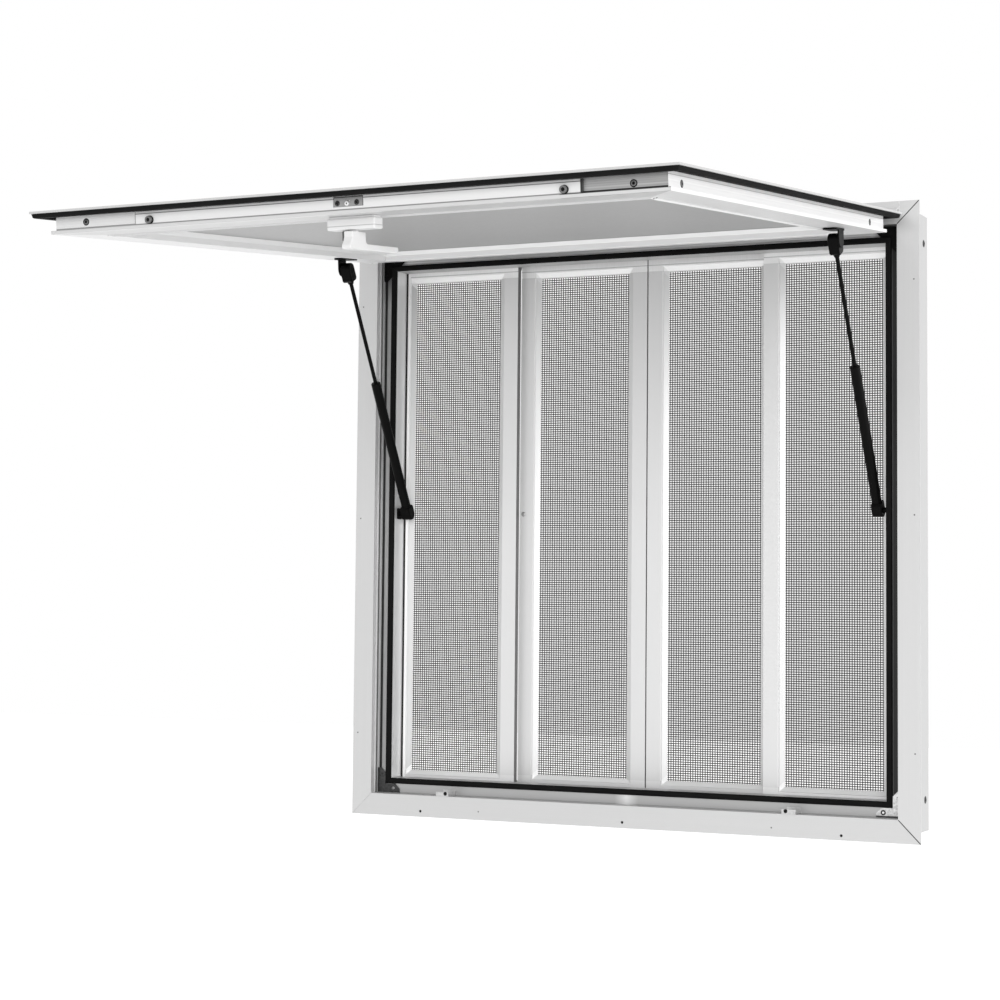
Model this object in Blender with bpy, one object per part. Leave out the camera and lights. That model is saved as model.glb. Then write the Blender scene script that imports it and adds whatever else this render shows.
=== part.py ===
"""Concession window: wall frame, four screens, top-hung awning on two gas struts.

Sizes are in millimetres and are turned into metres where a mesh is made.
X runs along the window, Y into the wall, Z up. The origin is on the back face of the
wall flange, in the middle of the strip that overlaps the wall below the opening.
"""
import bpy
import bmesh
from math import atan2, cos, pi, radians, sin
from mathutils import Matrix, Vector

MM = 0.001

# wall frame
FLANGE_SPAN_X = 940.0      # outside of the flange, left to right
FLANGE_SPAN_Z = 940.0      # outside of the flange, bottom to top
FLANGE_WIDTH = 34.0        # outside of the flange to the rebate
FLANGE_WALL = 2.0          # thickness of the flange sheet
WALL_OVERLAP = 13.0        # how far the flange laps over the wall
SLEEVE_WALL = 2.0          # wall of the sleeve that goes through the opening
FRAME_DEPTH = 88.3         # flange front to the back of the sleeve
SLEEVE_LIP = 24.7          # width of the return at the back of the sleeve
REBATE_DEPTH = 24.6        # flange front to the seat
GROOVE_WIDTH = 3.6         # grooves along the rebate wall
GROOVE_DEPTH = 3.0
GROOVE_FOLD = 1.2          # wall of the folded grooves
GROOVE_PLACES = (9.6, 18.2)
MITRE_GAP = 0.15           # each end of a mitred member stops this short
SEAT_GAP = 0.3             # between pieces that touch

# liner with the screen tracks
LINER_WALL = 2.0
OPENING_INSET = 57.7       # outside of the flange to the clear opening
REVEAL_BACK = 57.0         # flange front to the back of the reveal
TRACK_FLOOR = 40.0         # outside of the flange to the floor of the tracks
TRACK_FENCE = 1.2          # fence between the two tracks
TRACK_FENCE_TALL = 9.0

# black seal round the opening
SEAL_WIDTH = 8.8
SEAL_TALL = 4.8

# corner brackets and strikes on the seat
BRACKET_WALL = 2.0
BRACKET_LEG = 39.0
BRACKET_SIDE_GAP = 0.6
BRACKET_CHAMFER = 8.0
RIVET_RADIUS = 2.4
RIVET_TALL = 1.0

# screens
SCREEN_THICK = 11.5
SCREEN_FRONT_GAP = 1.2     # reveal to the front screens
SCREEN_EDGE_GAP = 0.5      # track floor to the edge of a screen
STILE_WIDTH = 24.5
BEAD_WIDTH = 9.0
BEAD_DROP = 2.2            # face of the bead below the face of the stile
TOP_RAIL_WIDTH = 34.5
BOTTOM_RAIL_WIDTH = 28.5
FRONT_SCREEN_SHARE = 0.507  # inner edge of a front screen, as a share of half the clear opening
SCREEN_LAP = 11.5          # how far a centred rear screen reaches behind a front one
INNER_PAIR_SHIFT = 10.8    # the rear pair stands this far to the right of the middle
MEETING_GAP = 2.0
MESH_THICK = 1.0
MESH_BACK = 6.4            # face of the screen to the face of the mesh
PIN_LOCK_RADIUS = 3.6
PIN_LOCK_SHARE = 0.5150    # height of the pin lock, as a share of the flange
PIN_LOCK_INSET = 3.4
PIN_LOCK_TALL = 1.2

# awning, all set out in its closed pose
OPEN_ANGLE = 85.0
HINGE_FORWARD = 16.0       # flange front to the hinge axis
HINGE_DROP = 19.0          # flange top to the hinge axis
SKIN_SIDE_INSET = 20.0     # flange side to the side of the skin
SKIN_BOTTOM_INSET = 22.0   # flange bottom to the bottom edge of the closed skin
SKIN_TOP_DROP = 24.0       # flange top to the top edge of the closed skin
SKIN_STANDOFF = 12.0       # flange front to the inner face of the closed skin
SKIN_WALL = 1.5
SKIN_HEM_WALL = 1.5
SKIN_HEM_WIDTH = 18.0
GASKET_EDGE = 2.0          # skin edge to the gasket
GASKET_WIDTH = 12.0
GASKET_TALL = 5.8
TRAY_SIDE_INSET = 24.0     # skin side to the face of a side rail
TRAY_REAR = 16.0           # skin's top edge to the hinge rail
TRAY_FRONT_INSET = 25.0    # skin's front edge to the face of the front rail
RAIL_DEEP = 26.5
RAIL_WIDTH = 50.0
FRONT_RAIL_WIDTH = 66.0
RAIL_WALL = 1.8
RAIL_TOP_LEG = 14.0
RAIL_LEDGE = 24.0
RAIL_LIP = 5.0
RAIL_LIP_WALL = 4.5
RAIL_BEAD_WIDTH = 9.0      # beading along the inner edge of a rail
RAIL_BEAD_STEP = 0.9
SLOPE_WIDE = 5.0           # sloped bead between a rail and the inner panel
SLOPE_TALL = 6.5
SLOPE_TOE = 1.0
PANEL_FACE = 13.2          # skin's inner face to the face of the inner panel
PANEL_WALL = 1.2
PANEL_LAP = 20.0           # panel over the ledge of the rails

# hinge
HINGE_END_INSET = 10.0     # side of the skin to the end of the hinge
HINGE_BEAD = 2.4           # radius of the bead on the frame half
HINGE_CLEAR = 0.4
HINGE_CURL_WALL = 1.4
HINGE_CURL_HALF = 100.0    # half angle of the curl
HINGE_LEG = 16.0
HINGE_LEG_WALL = 1.2
HINGE_NECK_ANGLE = 47.5
HINGE_LEAF_WALL = 2.0
HINGE_LEAF_UP = 11.0       # neck to the top of the leaf
HINGE_LEAF_DOWN = 7.0      # neck to the foot of the leaf

# lock
BAR_END_INSET = 115.0      # side of the tray to the end of the bar, when the bar is centred
BAR_THICK = 3.7
BAR_TOP = 5.4              # skin's inner face to the near edge of the bar
BAR_WIDTH = 16.2
BAR_REST = 10.2            # middle of the bar at rest, along X
BAR_TRAVEL = 28.0
BAR_NOTCH_HALF = 21.0
BAR_NOTCH_DEEP = 12.6
LOCK_PLATE_WALL = 2.2
BOLT_END_INSET = 23.0      # end of the bar to a bolt
BOLT_RADIUS = 3.5
BOLT_HEAD_RADIUS = 4.6
BOLT_TALL = 5.0
BOLT_DROP = 16.6           # skin's inner face to the middle of a bolt
STRIKE_HALF = 11.0
STRIKE_WALL = 1.5
STRIKE_TALL = 7.0
STRIKE_CLEAR = 1.0
HOUSING_MIDDLE = -4.0      # middle of the housing along X
HOUSING_HALF = 33.5
HOUSING_SETBACK = 26.0     # face of the front rail to the housing
HOUSING_DEEP = 22.0
HOUSING_TALL = 16.6
HOUSING_ROUND = 1.6
HOUSING_STEP = 2.0         # the neck under the housing is this much smaller all round
HOUSING_NECK = 2.4
HANDLE_X = -6.0            # the handle's axis along X
HANDLE_HALF = 6.2
HANDLE_HEEL = 14.0         # axis to the front of the grip block
HANDLE_BACK = 20.0         # axis to the back of the grip block
HANDLE_FLARE = 7.0         # how far the butt of the grip leans forward
HANDLE_REACH = 105.0       # axis to the end of the lever
HANDLE_TALL = 24.0         # housing to the far face of the lever, with the boss
LEVER_THICK = 8.0
BOSS_RADIUS = 6.0          # round boss between the housing and the grip
BOSS_TALL = 1.6
RELEASE_DROP = 1.0         # housing to the release tab on the side of the grip
RELEASE_HALF = 3.6
RELEASE_LONG = 14.0
RELEASE_TALL = 12.0

# gas struts
STRUT_SIDE_GAP = 17.0      # side of the clear opening to the middle of a strut
STRUT_DOWN = 454.8         # flange top to the lower ball stud
STRUT_BACK = 39.0          # flange front to the lower ball stud
STRUT_ALONG = 156.0        # skin's top edge to the upper ball stud
STRUT_DROP = 43.5          # skin's inner face to the upper ball stud
ROD_OUT = 40.0             # upper ball stud to the cylinder when the awning is closed
CYLINDER_START = 13.0      # lower ball stud to the foot of the cylinder
CYLINDER_RADIUS = 7.5
CYLINDER_BORE = 5.9
GLAND_LENGTH = 8.0
GLAND_CLEAR = 0.3
ROD_RADIUS = 3.0
ROD_END_PLAY = 16.0        # end of the rod to the foot of the cylinder when closed
PISTON_LENGTH = 12.0
PISTON_CLEAR = 0.4
SOCKET_HALF = 8.0          # half the socket across the strut, along X
SOCKET_WIDE = 9.5          # half the socket across the strut, in its plane of swing
SOCKET_END = 10.0          # ball stud to the round end of the socket
SOCKET_LONG = 20.0         # ball stud to the shoulder of the upper socket
SOCKET_CUT = 3.0           # chamfer round a socket
SOCKET_NECK = 5.0
SOCKET_NECK_END = 25.0
STUD_RADIUS = 4.0
STUD_CLEAR = 0.3
STUD_IN_SOCKET = 8.0
STUD_PLATE = 2.2
STUD_PLATE_TALL = 18.0
STUD_PLATE_WIDE = 14.0
TAB_WALL = 2.2
TAB_HALF = 11.0
TAB_FOOT_FRONT = 25.0
TAB_FOOT_REAR = 18.0
TAB_FOOT_CLEAR = 0.8       # bead of the side rail to the foot
TAB_FOOT_WALL = 2.5

# places that follow from the sizes
HALF_X = FLANGE_SPAN_X / 2
BASE_Z = -WALL_OVERLAP / 2
TOP_Z = BASE_Z + FLANGE_SPAN_Z
FRONT_Y = -FLANGE_WALL
HALF_OPENING = HALF_X - OPENING_INSET
FRONT_SCREEN_INNER = HALF_OPENING * FRONT_SCREEN_SHARE
REAR_SCREEN_OUTER = FRONT_SCREEN_INNER + SCREEN_LAP
SKIN_TOP_Z = TOP_Z - SKIN_TOP_DROP
SKIN_SPAN_X = FLANGE_SPAN_X - 2 * SKIN_SIDE_INSET
SKIN_LENGTH = FLANGE_SPAN_Z - SKIN_TOP_DROP - SKIN_BOTTOM_INSET
TRAY_SPAN_X = SKIN_SPAN_X - 2 * TRAY_SIDE_INSET
TRAY_FRONT = SKIN_LENGTH - TRAY_FRONT_INSET
BAR_LENGTH = TRAY_SPAN_X - 2 * BAR_END_INSET
BOLT_PLACE = BAR_LENGTH / 2 - BOLT_END_INSET
STRUT_X = HALF_OPENING - STRUT_SIDE_GAP
HOUSING_FAR = TRAY_FRONT - HOUSING_SETBACK
HOUSING_NEAR = HOUSING_FAR - HOUSING_DEEP
HANDLE_PLACE = (HOUSING_FAR + HOUSING_NEAR) / 2
SKIN_Y = FRONT_Y - SKIN_STANDOFF
HINGE = Vector((0.0, FRONT_Y - HINGE_FORWARD, TOP_Z - HINGE_DROP))
FRAME_BOX = (-HALF_X, HALF_X, BASE_Z, TOP_Z)
TRAY_BOX = (-TRAY_SPAN_X / 2, TRAY_SPAN_X / 2, SKIN_TOP_Z - TRAY_FRONT, SKIN_TOP_Z - TRAY_REAR)
SKIN_BOX = (-SKIN_SPAN_X / 2, SKIN_SPAN_X / 2, SKIN_TOP_Z - SKIN_LENGTH, SKIN_TOP_Z)


def material(name, colour, metallic, rough):
    made = bpy.data.materials.new(name)
    made.use_nodes = True
    shader = made.node_tree.nodes["Principled BSDF"]
    shader.inputs["Base Color"].default_value = (*colour, 1.0)
    shader.inputs["Metallic"].default_value = metallic
    shader.inputs["Roughness"].default_value = rough
    made.diffuse_color = (*colour, 1.0)
    return made


def solid(name, work, mat, origin=(0.0, 0.0, 0.0)):
    """Make one named object from a bmesh in millimetres, with its origin where asked."""
    bmesh.ops.remove_doubles(work, verts=work.verts, dist=0.001)
    bmesh.ops.recalc_face_normals(work, faces=work.faces)
    shift = Vector(origin)
    for vert in work.verts:
        vert.co = (vert.co - shift) * MM
    data = bpy.data.meshes.new(name)
    work.to_mesh(data)
    work.free()
    made = bpy.data.objects.new(name, data)
    made.location = shift * MM
    data.materials.append(mat)
    bpy.context.scene.collection.objects.link(made)
    return made


def loft(rings, closed=False):
    """Join rings of points, each with the same count, into one closed skin."""
    work = bmesh.new()
    rows = [[work.verts.new(point) for point in ring] for ring in rings]
    count = len(rows[0])
    pairs = list(zip(rows, rows[1:]))
    if closed:
        pairs.append((rows[-1], rows[0]))
    for first, second in pairs:
        for i in range(count):
            j = (i + 1) % count
            work.faces.new((first[i], first[j], second[j], second[i]))
    if not closed:
        work.faces.new(rows[0])
        work.faces.new(list(reversed(rows[-1])))
    return work


def prism(outline, low, high, axis):
    """Extrude a flat outline along X, Y or Z."""
    def place(point, along):
        a, b = point
        if axis == "X":
            return (along, a, b)
        if axis == "Y":
            return (a, along, b)
        return (a, b, along)
    return loft([[place(p, low) for p in outline], [place(p, high) for p in outline]])


def rectangle(a0, a1, b0, b1):
    return [(a0, b0), (a1, b0), (a1, b1), (a0, b1)]


def chamfered(a0, a1, b0, b1, cut):
    return [(a0 + cut, b0), (a1 - cut, b0), (a1, b0 + cut), (a1, b1 - cut),
            (a1 - cut, b1), (a0 + cut, b1), (a0, b1 - cut), (a0, b0 + cut)]


def arc(centre_a, centre_b, radius, start, end, steps):
    """Points of an arc, angles in degrees from the first axis to the second."""
    points = []
    for i in range(steps + 1):
        angle = radians(start + (end - start) * i / steps)
        points.append((centre_a + radius * cos(angle), centre_b + radius * sin(angle)))
    return points


def turned(profile, steps=24):
    """Turn a closed outline of (radius, height) about Z."""
    work = bmesh.new()
    verts = [work.verts.new((r, 0.0, h)) for r, h in profile]
    edges = []
    for i, vert in enumerate(verts):
        after = verts[(i + 1) % len(verts)]
        if profile[i][0] == 0.0 and profile[(i + 1) % len(profile)][0] == 0.0:
            continue
        edges.append(work.edges.new((vert, after)))
    bmesh.ops.spin(work, geom=verts + edges, cent=(0, 0, 0), axis=(0, 0, 1),
                   angle=2 * pi, steps=steps, use_merge=True)
    bmesh.ops.remove_doubles(work, verts=work.verts, dist=0.0005)
    return work


def moved(work, matrix):
    bmesh.ops.transform(work, matrix=matrix, verts=work.verts)
    return work


def boolean(target, tool, operation):
    """Cut or join with a second object, which is then removed."""
    change = target.modifiers.new("shape", "BOOLEAN")
    change.operation = operation
    change.solver = "EXACT"
    change.object = tool
    bpy.context.view_layer.update()
    result = bpy.data.meshes.new_from_object(
        target.evaluated_get(bpy.context.evaluated_depsgraph_get()))
    target.modifiers.clear()
    old = target.data
    target.data = result
    result.name = target.name
    bpy.data.meshes.remove(old)
    bpy.data.objects.remove(tool)
    return target


def softened(work, size, steps=2, limit=40.0):
    """Round the sharp edges of a block."""
    bmesh.ops.recalc_face_normals(work, faces=work.faces)
    sharp = [edge for edge in work.edges
             if len(edge.link_faces) == 2 and edge.calc_face_angle() > radians(limit)]
    bmesh.ops.bevel(work, geom=sharp, offset=size, segments=steps, profile=0.5,
                    affect="EDGES", clamp_overlap=True)
    return work


def member(outline, side, box, square_top=False, ratio=1.0):
    """One side of a mitred frame. The outline holds (inset from the box, depth along Y).
    The ratio is the width of a side member over that of the bottom one."""
    x0, x1, z0, z1 = box
    g = MITRE_GAP
    first, second = [], []
    for u, y in outline:
        top = z1 - (max(u, 0.0) if square_top else u)
        low = u / ratio if u > 0.0 else u
        if side == "bottom":
            over = u * ratio if u > 0.0 else u
            first.append((x0 + over + g, y, z0 + u))
            second.append((x1 - over - g, y, z0 + u))
        elif side == "top":
            first.append((x0 + u + g, y, z1 - u))
            second.append((x1 - u - g, y, z1 - u))
        elif side == "left":
            first.append((x0 + u, y, z0 + low + g))
            second.append((x0 + u, y, top - g))
        else:
            first.append((x1 - u, y, z0 + low + g))
            second.append((x1 - u, y, top - g))
    return loft([first, second])


def hoop(outline, box):
    """A whole frame in one piece, with mitred corners."""
    x0, x1, z0, z1 = box
    rings = [
        [(x0 + u, y, z0 + v) for u, v, y in outline["bottom_left"]],
        [(x1 - u, y, z0 + v) for u, v, y in outline["bottom_right"]],
        [(x1 - u, y, z1 - v) for u, v, y in outline["top_right"]],
        [(x0 + u, y, z1 - v) for u, v, y in outline["top_left"]],
    ]
    return loft(rings, closed=True)


SIDES = (("sill", "bottom"), ("head", "top"), ("jamb_left", "left"), ("jamb_right", "right"))


def depth(value):
    """A depth behind the front of the flange, as a Y."""
    return FRONT_Y + value


def build_frame(alloy):
    inner = FLANGE_WIDTH
    wall = WALL_OVERLAP
    back = depth(FRAME_DEPTH)
    outline = [(0.0, FRONT_Y), (inner, FRONT_Y)]
    behind = []
    for place in GROOVE_PLACES:
        end = place + GROOVE_WIDTH
        outline += [(inner, depth(place)), (inner - GROOVE_DEPTH, depth(place)),
                    (inner - GROOVE_DEPTH, depth(end)), (inner, depth(end))]
        behind += [(inner - SLEEVE_WALL, depth(place - GROOVE_FOLD)),
                   (inner - GROOVE_DEPTH - GROOVE_FOLD, depth(place - GROOVE_FOLD)),
                   (inner - GROOVE_DEPTH - GROOVE_FOLD, depth(end + GROOVE_FOLD)),
                   (inner - SLEEVE_WALL, depth(end + GROOVE_FOLD))]
    seat = depth(REBATE_DEPTH) - SEAT_GAP
    outline += [
        (inner, seat), (inner - SLEEVE_WALL, seat), *reversed(behind), (inner - SLEEVE_WALL, 0.0),
        (wall + SLEEVE_WALL, 0.0), (wall + SLEEVE_WALL, back - SLEEVE_WALL),
        (wall + SLEEVE_LIP, back - SLEEVE_WALL), (wall + SLEEVE_LIP, back),
        (wall, back), (wall, 0.0), (0.0, 0.0)]
    for name, side in SIDES:
        solid("frame_" + name, member(outline, side, FRAME_BOX), alloy)


def build_liner(alloy):
    seat = depth(REBATE_DEPTH)
    reveal = depth(REVEAL_BACK)
    back = depth(FRAME_DEPTH)
    fence_mid = reveal + SCREEN_FRONT_GAP + SCREEN_THICK + SCREEN_FRONT_GAP
    start = WALL_OVERLAP + SLEEVE_WALL + SEAT_GAP
    w = LINER_WALL
    outline = [
        (start, seat), (OPENING_INSET, seat), (OPENING_INSET, reveal), (TRACK_FLOOR, reveal),
        (TRACK_FLOOR, fence_mid), (TRACK_FLOOR + TRACK_FENCE_TALL, fence_mid),
        (TRACK_FLOOR + TRACK_FENCE_TALL, fence_mid + TRACK_FENCE),
        (TRACK_FLOOR, fence_mid + TRACK_FENCE), (TRACK_FLOOR, back - w),
        (OPENING_INSET, back - w), (OPENING_INSET, back), (TRACK_FLOOR - w, back),
        (TRACK_FLOOR - w, reveal - w), (OPENING_INSET - w, reveal - w),
        (OPENING_INSET - w, seat + w), (start, seat + w)]
    for name, side in SIDES:
        solid("liner_" + name, member(outline, side, FRAME_BOX), alloy)


def build_seal(rubber):
    seat = depth(REBATE_DEPTH) - SEAT_GAP
    face = depth(REBATE_DEPTH) - SEAT_GAP - SEAL_TALL
    near = OPENING_INSET - SEAL_WIDTH
    round_off = SEAL_TALL * 0.45
    outline = [(near, seat), (near, face + round_off),
               (near + round_off * 0.3, face + round_off * 0.3),
               (near + round_off, face), (OPENING_INSET - round_off, face),
               (OPENING_INSET - round_off * 0.3, face + round_off * 0.3),
               (OPENING_INSET, face + round_off), (OPENING_INSET, seat)]
    for name, side in SIDES:
        solid("seal_" + name, member(outline, side, FRAME_BOX), rubber)


def build_corner_brackets(alloy):
    near = FLANGE_WIDTH + BRACKET_SIDE_GAP
    far = OPENING_INSET - SEAL_WIDTH - BRACKET_SIDE_GAP
    end = near + BRACKET_LEG
    cut = BRACKET_CHAMFER
    face = depth(REBATE_DEPTH) - SEAT_GAP
    rivets = ((near + far) / 2, near + BRACKET_LEG * 0.72)
    for name, sx, sz in (("bottom_left", -1, 1), ("bottom_right", 1, 1),
                         ("top_left", -1, -1), ("top_right", 1, -1)):
        shape = [(near, near), (end, near), (end, far - cut), (end - cut, far), (far, far),
                 (far, end - cut), (far - cut, end), (near, end)]

        def spot(a, b):
            z = BASE_Z + b if sz > 0 else TOP_Z - b
            return (sx * (HALF_X - a), z)
        body = solid("corner_bracket_" + name,
                     prism([spot(a, b) for a, b in shape], face - BRACKET_WALL, face, "Y"), alloy)
        for a, b in ((rivets[0], rivets[1]), (rivets[1], rivets[0])):
            x, z = spot(a, b)
            head = turned([(0.0, 0.0), (RIVET_RADIUS, 0.0), (RIVET_RADIUS * 0.6, RIVET_TALL),
                           (0.0, RIVET_TALL)], 10)
            place = Matrix.Translation((x, face - BRACKET_WALL + 0.2, z))
            moved(head, place @ Matrix.Rotation(pi / 2, 4, "X"))
            boolean(body, solid("rivet", head, alloy), "UNION")


def screen_outline():
    """Cross-section of a screen frame at one corner as (x inset, z inset, depth)."""
    face = 0.0
    rear = SCREEN_THICK
    bead = BEAD_DROP
    mesh = MESH_BACK
    steps = [(0.0, face), (STILE_WIDTH, face), (STILE_WIDTH, bead * 0.5),
             (STILE_WIDTH + 1.0, bead), (STILE_WIDTH + BEAD_WIDTH, mesh - SEAT_GAP),
             (STILE_WIDTH, mesh - SEAT_GAP), (STILE_WIDTH, mesh + MESH_THICK + SEAT_GAP),
             (STILE_WIDTH + BEAD_WIDTH * 0.6, mesh + MESH_THICK + SEAT_GAP),
             (STILE_WIDTH + BEAD_WIDTH * 0.6, rear), (0.0, rear)]
    return steps


def build_screens(alloy, net, steel):
    bottom = BASE_Z + TRACK_FLOOR + SCREEN_EDGE_GAP
    top = TOP_Z - TRACK_FLOOR - SCREEN_EDGE_GAP
    outer = HALF_X - TRACK_FLOOR - SCREEN_EDGE_GAP
    front = depth(REVEAL_BACK) + SCREEN_FRONT_GAP
    rear = front + SCREEN_THICK + SCREEN_FRONT_GAP + TRACK_FENCE + SCREEN_FRONT_GAP
    half_gap = MEETING_GAP / 2
    shift = INNER_PAIR_SHIFT
    spans = (("outer_left", -outer, -FRONT_SCREEN_INNER, front),
             ("inner_left", shift - REAR_SCREEN_OUTER, shift - half_gap, rear),
             ("inner_right", shift + half_gap, shift + REAR_SCREEN_OUTER, rear),
             ("outer_right", FRONT_SCREEN_INNER, outer, front))
    side = STILE_WIDTH + BEAD_WIDTH
    for name, x0, x1, y in spans:
        box = (x0, x1, bottom, top)
        steps = screen_outline()

        def corner(rail):
            return [(u, u * rail / side, y + d) for u, d in steps]
        shape = {"bottom_left": corner(BOTTOM_RAIL_WIDTH), "bottom_right": corner(BOTTOM_RAIL_WIDTH),
                 "top_right": corner(TOP_RAIL_WIDTH), "top_left": corner(TOP_RAIL_WIDTH)}
        solid("screen_frame_" + name, hoop(shape, box), alloy)
        low = STILE_WIDTH + SEAT_GAP
        sheet = rectangle(x0 + low, x1 - low, bottom + low * BOTTOM_RAIL_WIDTH / side,
                          top - low * TOP_RAIL_WIDTH / side)
        back = y + MESH_BACK + MESH_THICK
        solid("screen_mesh_" + name, prism(sheet, y + MESH_BACK, back, "Y"), net)
    knob = turned([(0.0, 0.0), (PIN_LOCK_RADIUS, 0.0), (PIN_LOCK_RADIUS, PIN_LOCK_TALL * 0.6),
                   (PIN_LOCK_RADIUS * 0.7, PIN_LOCK_TALL), (0.0, PIN_LOCK_TALL)], 16)
    spot = Vector((shift - REAR_SCREEN_OUTER + PIN_LOCK_INSET + PIN_LOCK_RADIUS, rear - SEAT_GAP,
                   BASE_Z + FLANGE_SPAN_Z * PIN_LOCK_SHARE))
    moved(knob, Matrix.Translation(spot) @ Matrix.Rotation(pi / 2, 4, "X"))
    solid("screen_pin_lock", knob, steel)


def inner(value):
    """A depth behind the inner face of the closed skin, as a Y."""
    return SKIN_Y + value


def along(value):
    """A distance from the skin's top edge, as a Z of the closed awning."""
    return SKIN_TOP_Z - value


SWING = (Matrix.Translation(HINGE) @ Matrix.Rotation(-radians(OPEN_ANGLE), 4, "X")
         @ Matrix.Translation(-HINGE))


def swung(name, work, mat, origin=HINGE):
    """An awning piece, set out closed and then swung open about the hinge."""
    return solid(name, moved(work, SWING), mat, origin)


def build_skin(paint):
    x0, x1, z0, z1 = SKIN_BOX
    w = SKIN_HEM_WIDTH
    outer_face = inner(-SKIN_WALL - SKIN_HEM_WALL)
    pocket = inner(-SKIN_HEM_WALL)

    def ring(cut, y):
        return [(x0 + cut, y, z0 + cut), (x1 - cut, y, z0 + cut),
                (x1 - cut, y, z1 - cut), (x0 + cut, y, z1 - cut)]
    rings = [ring(0.0, outer_face), ring(0.0, inner(0.0)), ring(w, inner(0.0)), ring(w, pocket)]
    swung("awning_skin", loft(rings), paint)


def build_gasket(rubber):
    a = GASKET_EDGE
    b = GASKET_EDGE + GASKET_WIDTH
    top = inner(SEAT_GAP)
    face = inner(GASKET_TALL)
    outline = [(a, top), (a + 1.0, face - 1.0), (a + 2.5, face),
               (b - 2.5, face), (b - 1.0, face - 1.0), (b, top)]
    for name, side in (("front", "bottom"), ("rear", "top"), ("left", "left"), ("right", "right")):
        swung("awning_gasket_" + name, member(outline, side, SKIN_BOX), rubber)


def rail_outline(width, lip):
    t = RAIL_WALL
    ledge = PANEL_FACE + SEAT_GAP
    bead = width - RAIL_BEAD_WIDTH
    step = RAIL_BEAD_STEP
    outline = [(0.0, inner(SEAT_GAP)), (RAIL_TOP_LEG, inner(SEAT_GAP)), (RAIL_TOP_LEG, inner(SEAT_GAP + t)),
               (t, inner(SEAT_GAP + t)), (t, inner(RAIL_DEEP - t)), (width - t, inner(RAIL_DEEP - t)),
               (width - t, inner(ledge + t)), (width - RAIL_LEDGE, inner(ledge + t)),
               (width - RAIL_LEDGE, inner(ledge)), (width + SLOPE_WIDE, inner(ledge)),
               (width + SLOPE_WIDE - SLOPE_TOE * 0.8, inner(ledge + SLOPE_TOE)),
               (width, inner(ledge + SLOPE_TALL)), (width, inner(RAIL_DEEP + step)),
               (width - 0.8, inner(RAIL_DEEP + 2 * step)), (bead + 4.6, inner(RAIL_DEEP + 2 * step)),
               (bead + 4.0, inner(RAIL_DEEP + step)), (bead + 0.8, inner(RAIL_DEEP + step)),
               (bead, inner(RAIL_DEEP))]
    if lip:
        outline += [(-RAIL_LIP, inner(RAIL_DEEP)), (-RAIL_LIP, inner(RAIL_DEEP - RAIL_LIP_WALL)),
                    (0.0, inner(RAIL_DEEP - RAIL_LIP_WALL))]
    else:
        outline += [(0.0, inner(RAIL_DEEP))]
    return outline


def build_tray(alloy, panel):
    for name, side, lip in (("front", "bottom", True), ("rear", "top", False),
                            ("left", "left", True), ("right", "right", True)):
        width = FRONT_RAIL_WIDTH if name == "front" else RAIL_WIDTH
        swung("awning_rail_" + name, member(rail_outline(width, lip), side, TRAY_BOX, square_top=True,
                                            ratio=RAIL_WIDTH / FRONT_RAIL_WIDTH), alloy)
    x0, x1, z0, z1 = TRAY_BOX
    cut = RAIL_WIDTH - PANEL_LAP
    low = FRONT_RAIL_WIDTH - PANEL_LAP
    sheet = rectangle(x0 + cut, x1 - cut, z0 + low, z1 - cut)
    swung("awning_inner_panel",
          prism(sheet, inner(PANEL_FACE - PANEL_WALL), inner(PANEL_FACE), "Y"), panel)


def build_hinge(alloy):
    half = SKIN_SPAN_X / 2 - HINGE_END_INSET
    y, z = HINGE.y, HINGE.z
    angle = HINGE_NECK_ANGLE
    neck = radians(angle)
    reach = (FRONT_Y - SEAT_GAP - HINGE_LEAF_WALL - y)
    knee_z = z + 7.0
    face = FRONT_Y - SEAT_GAP
    bead = arc(y, z, HINGE_BEAD, angle + 24.0, angle + 336.0, 14)
    outline = bead + [
        (y + 5.6 * cos(neck) + 0.9, z + 5.6 * sin(neck) - 0.9), (y + reach * 0.62, knee_z - 0.9),
        (face - HINGE_LEAF_WALL, knee_z - 0.9), (face - HINGE_LEAF_WALL, knee_z - HINGE_LEAF_DOWN),
        (face, knee_z - HINGE_LEAF_DOWN), (face, knee_z + HINGE_LEAF_UP),
        (face - HINGE_LEAF_WALL, knee_z + HINGE_LEAF_UP), (face - HINGE_LEAF_WALL, knee_z + 0.9),
        (y + reach * 0.56, knee_z + 0.9), (y + 5.6 * cos(neck) - 0.9, z + 5.6 * sin(neck) + 0.9)]
    solid("hinge_frame_half", prism(outline, -half, half, "X"), alloy)

    # curl and leg of the awning half, set out closed: the curl opens away from the skin
    inside = HINGE_BEAD + HINGE_CLEAR
    outside = inside + HINGE_CURL_WALL
    middle = -90.0
    leg_face = inner(-SKIN_WALL - SKIN_HEM_WALL - SEAT_GAP)
    start = middle - HINGE_CURL_HALF
    end = middle + HINGE_CURL_HALF
    curl_in = arc(y, z, inside, end, start, 14)
    leg_out = leg_face - HINGE_LEG_WALL
    reach_out = z - (outside ** 2 - (leg_out - y) ** 2) ** 0.5
    reach_in = z - (outside ** 2 - (leg_face - y) ** 2) ** 0.5
    angle_out = atan2(reach_out - z, leg_out - y) * 180 / pi
    angle_in = atan2(reach_in - z, leg_face - y) * 180 / pi
    foot = SKIN_TOP_Z - HINGE_LEG
    outline = (curl_in + arc(y, z, outside, start, angle_out, 6)
               + [(leg_out, foot), (leg_face, foot)] + arc(y, z, outside, angle_in, end, 8))
    swung("hinge_awning_half", prism(outline, -half, half, "X"), alloy)


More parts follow.
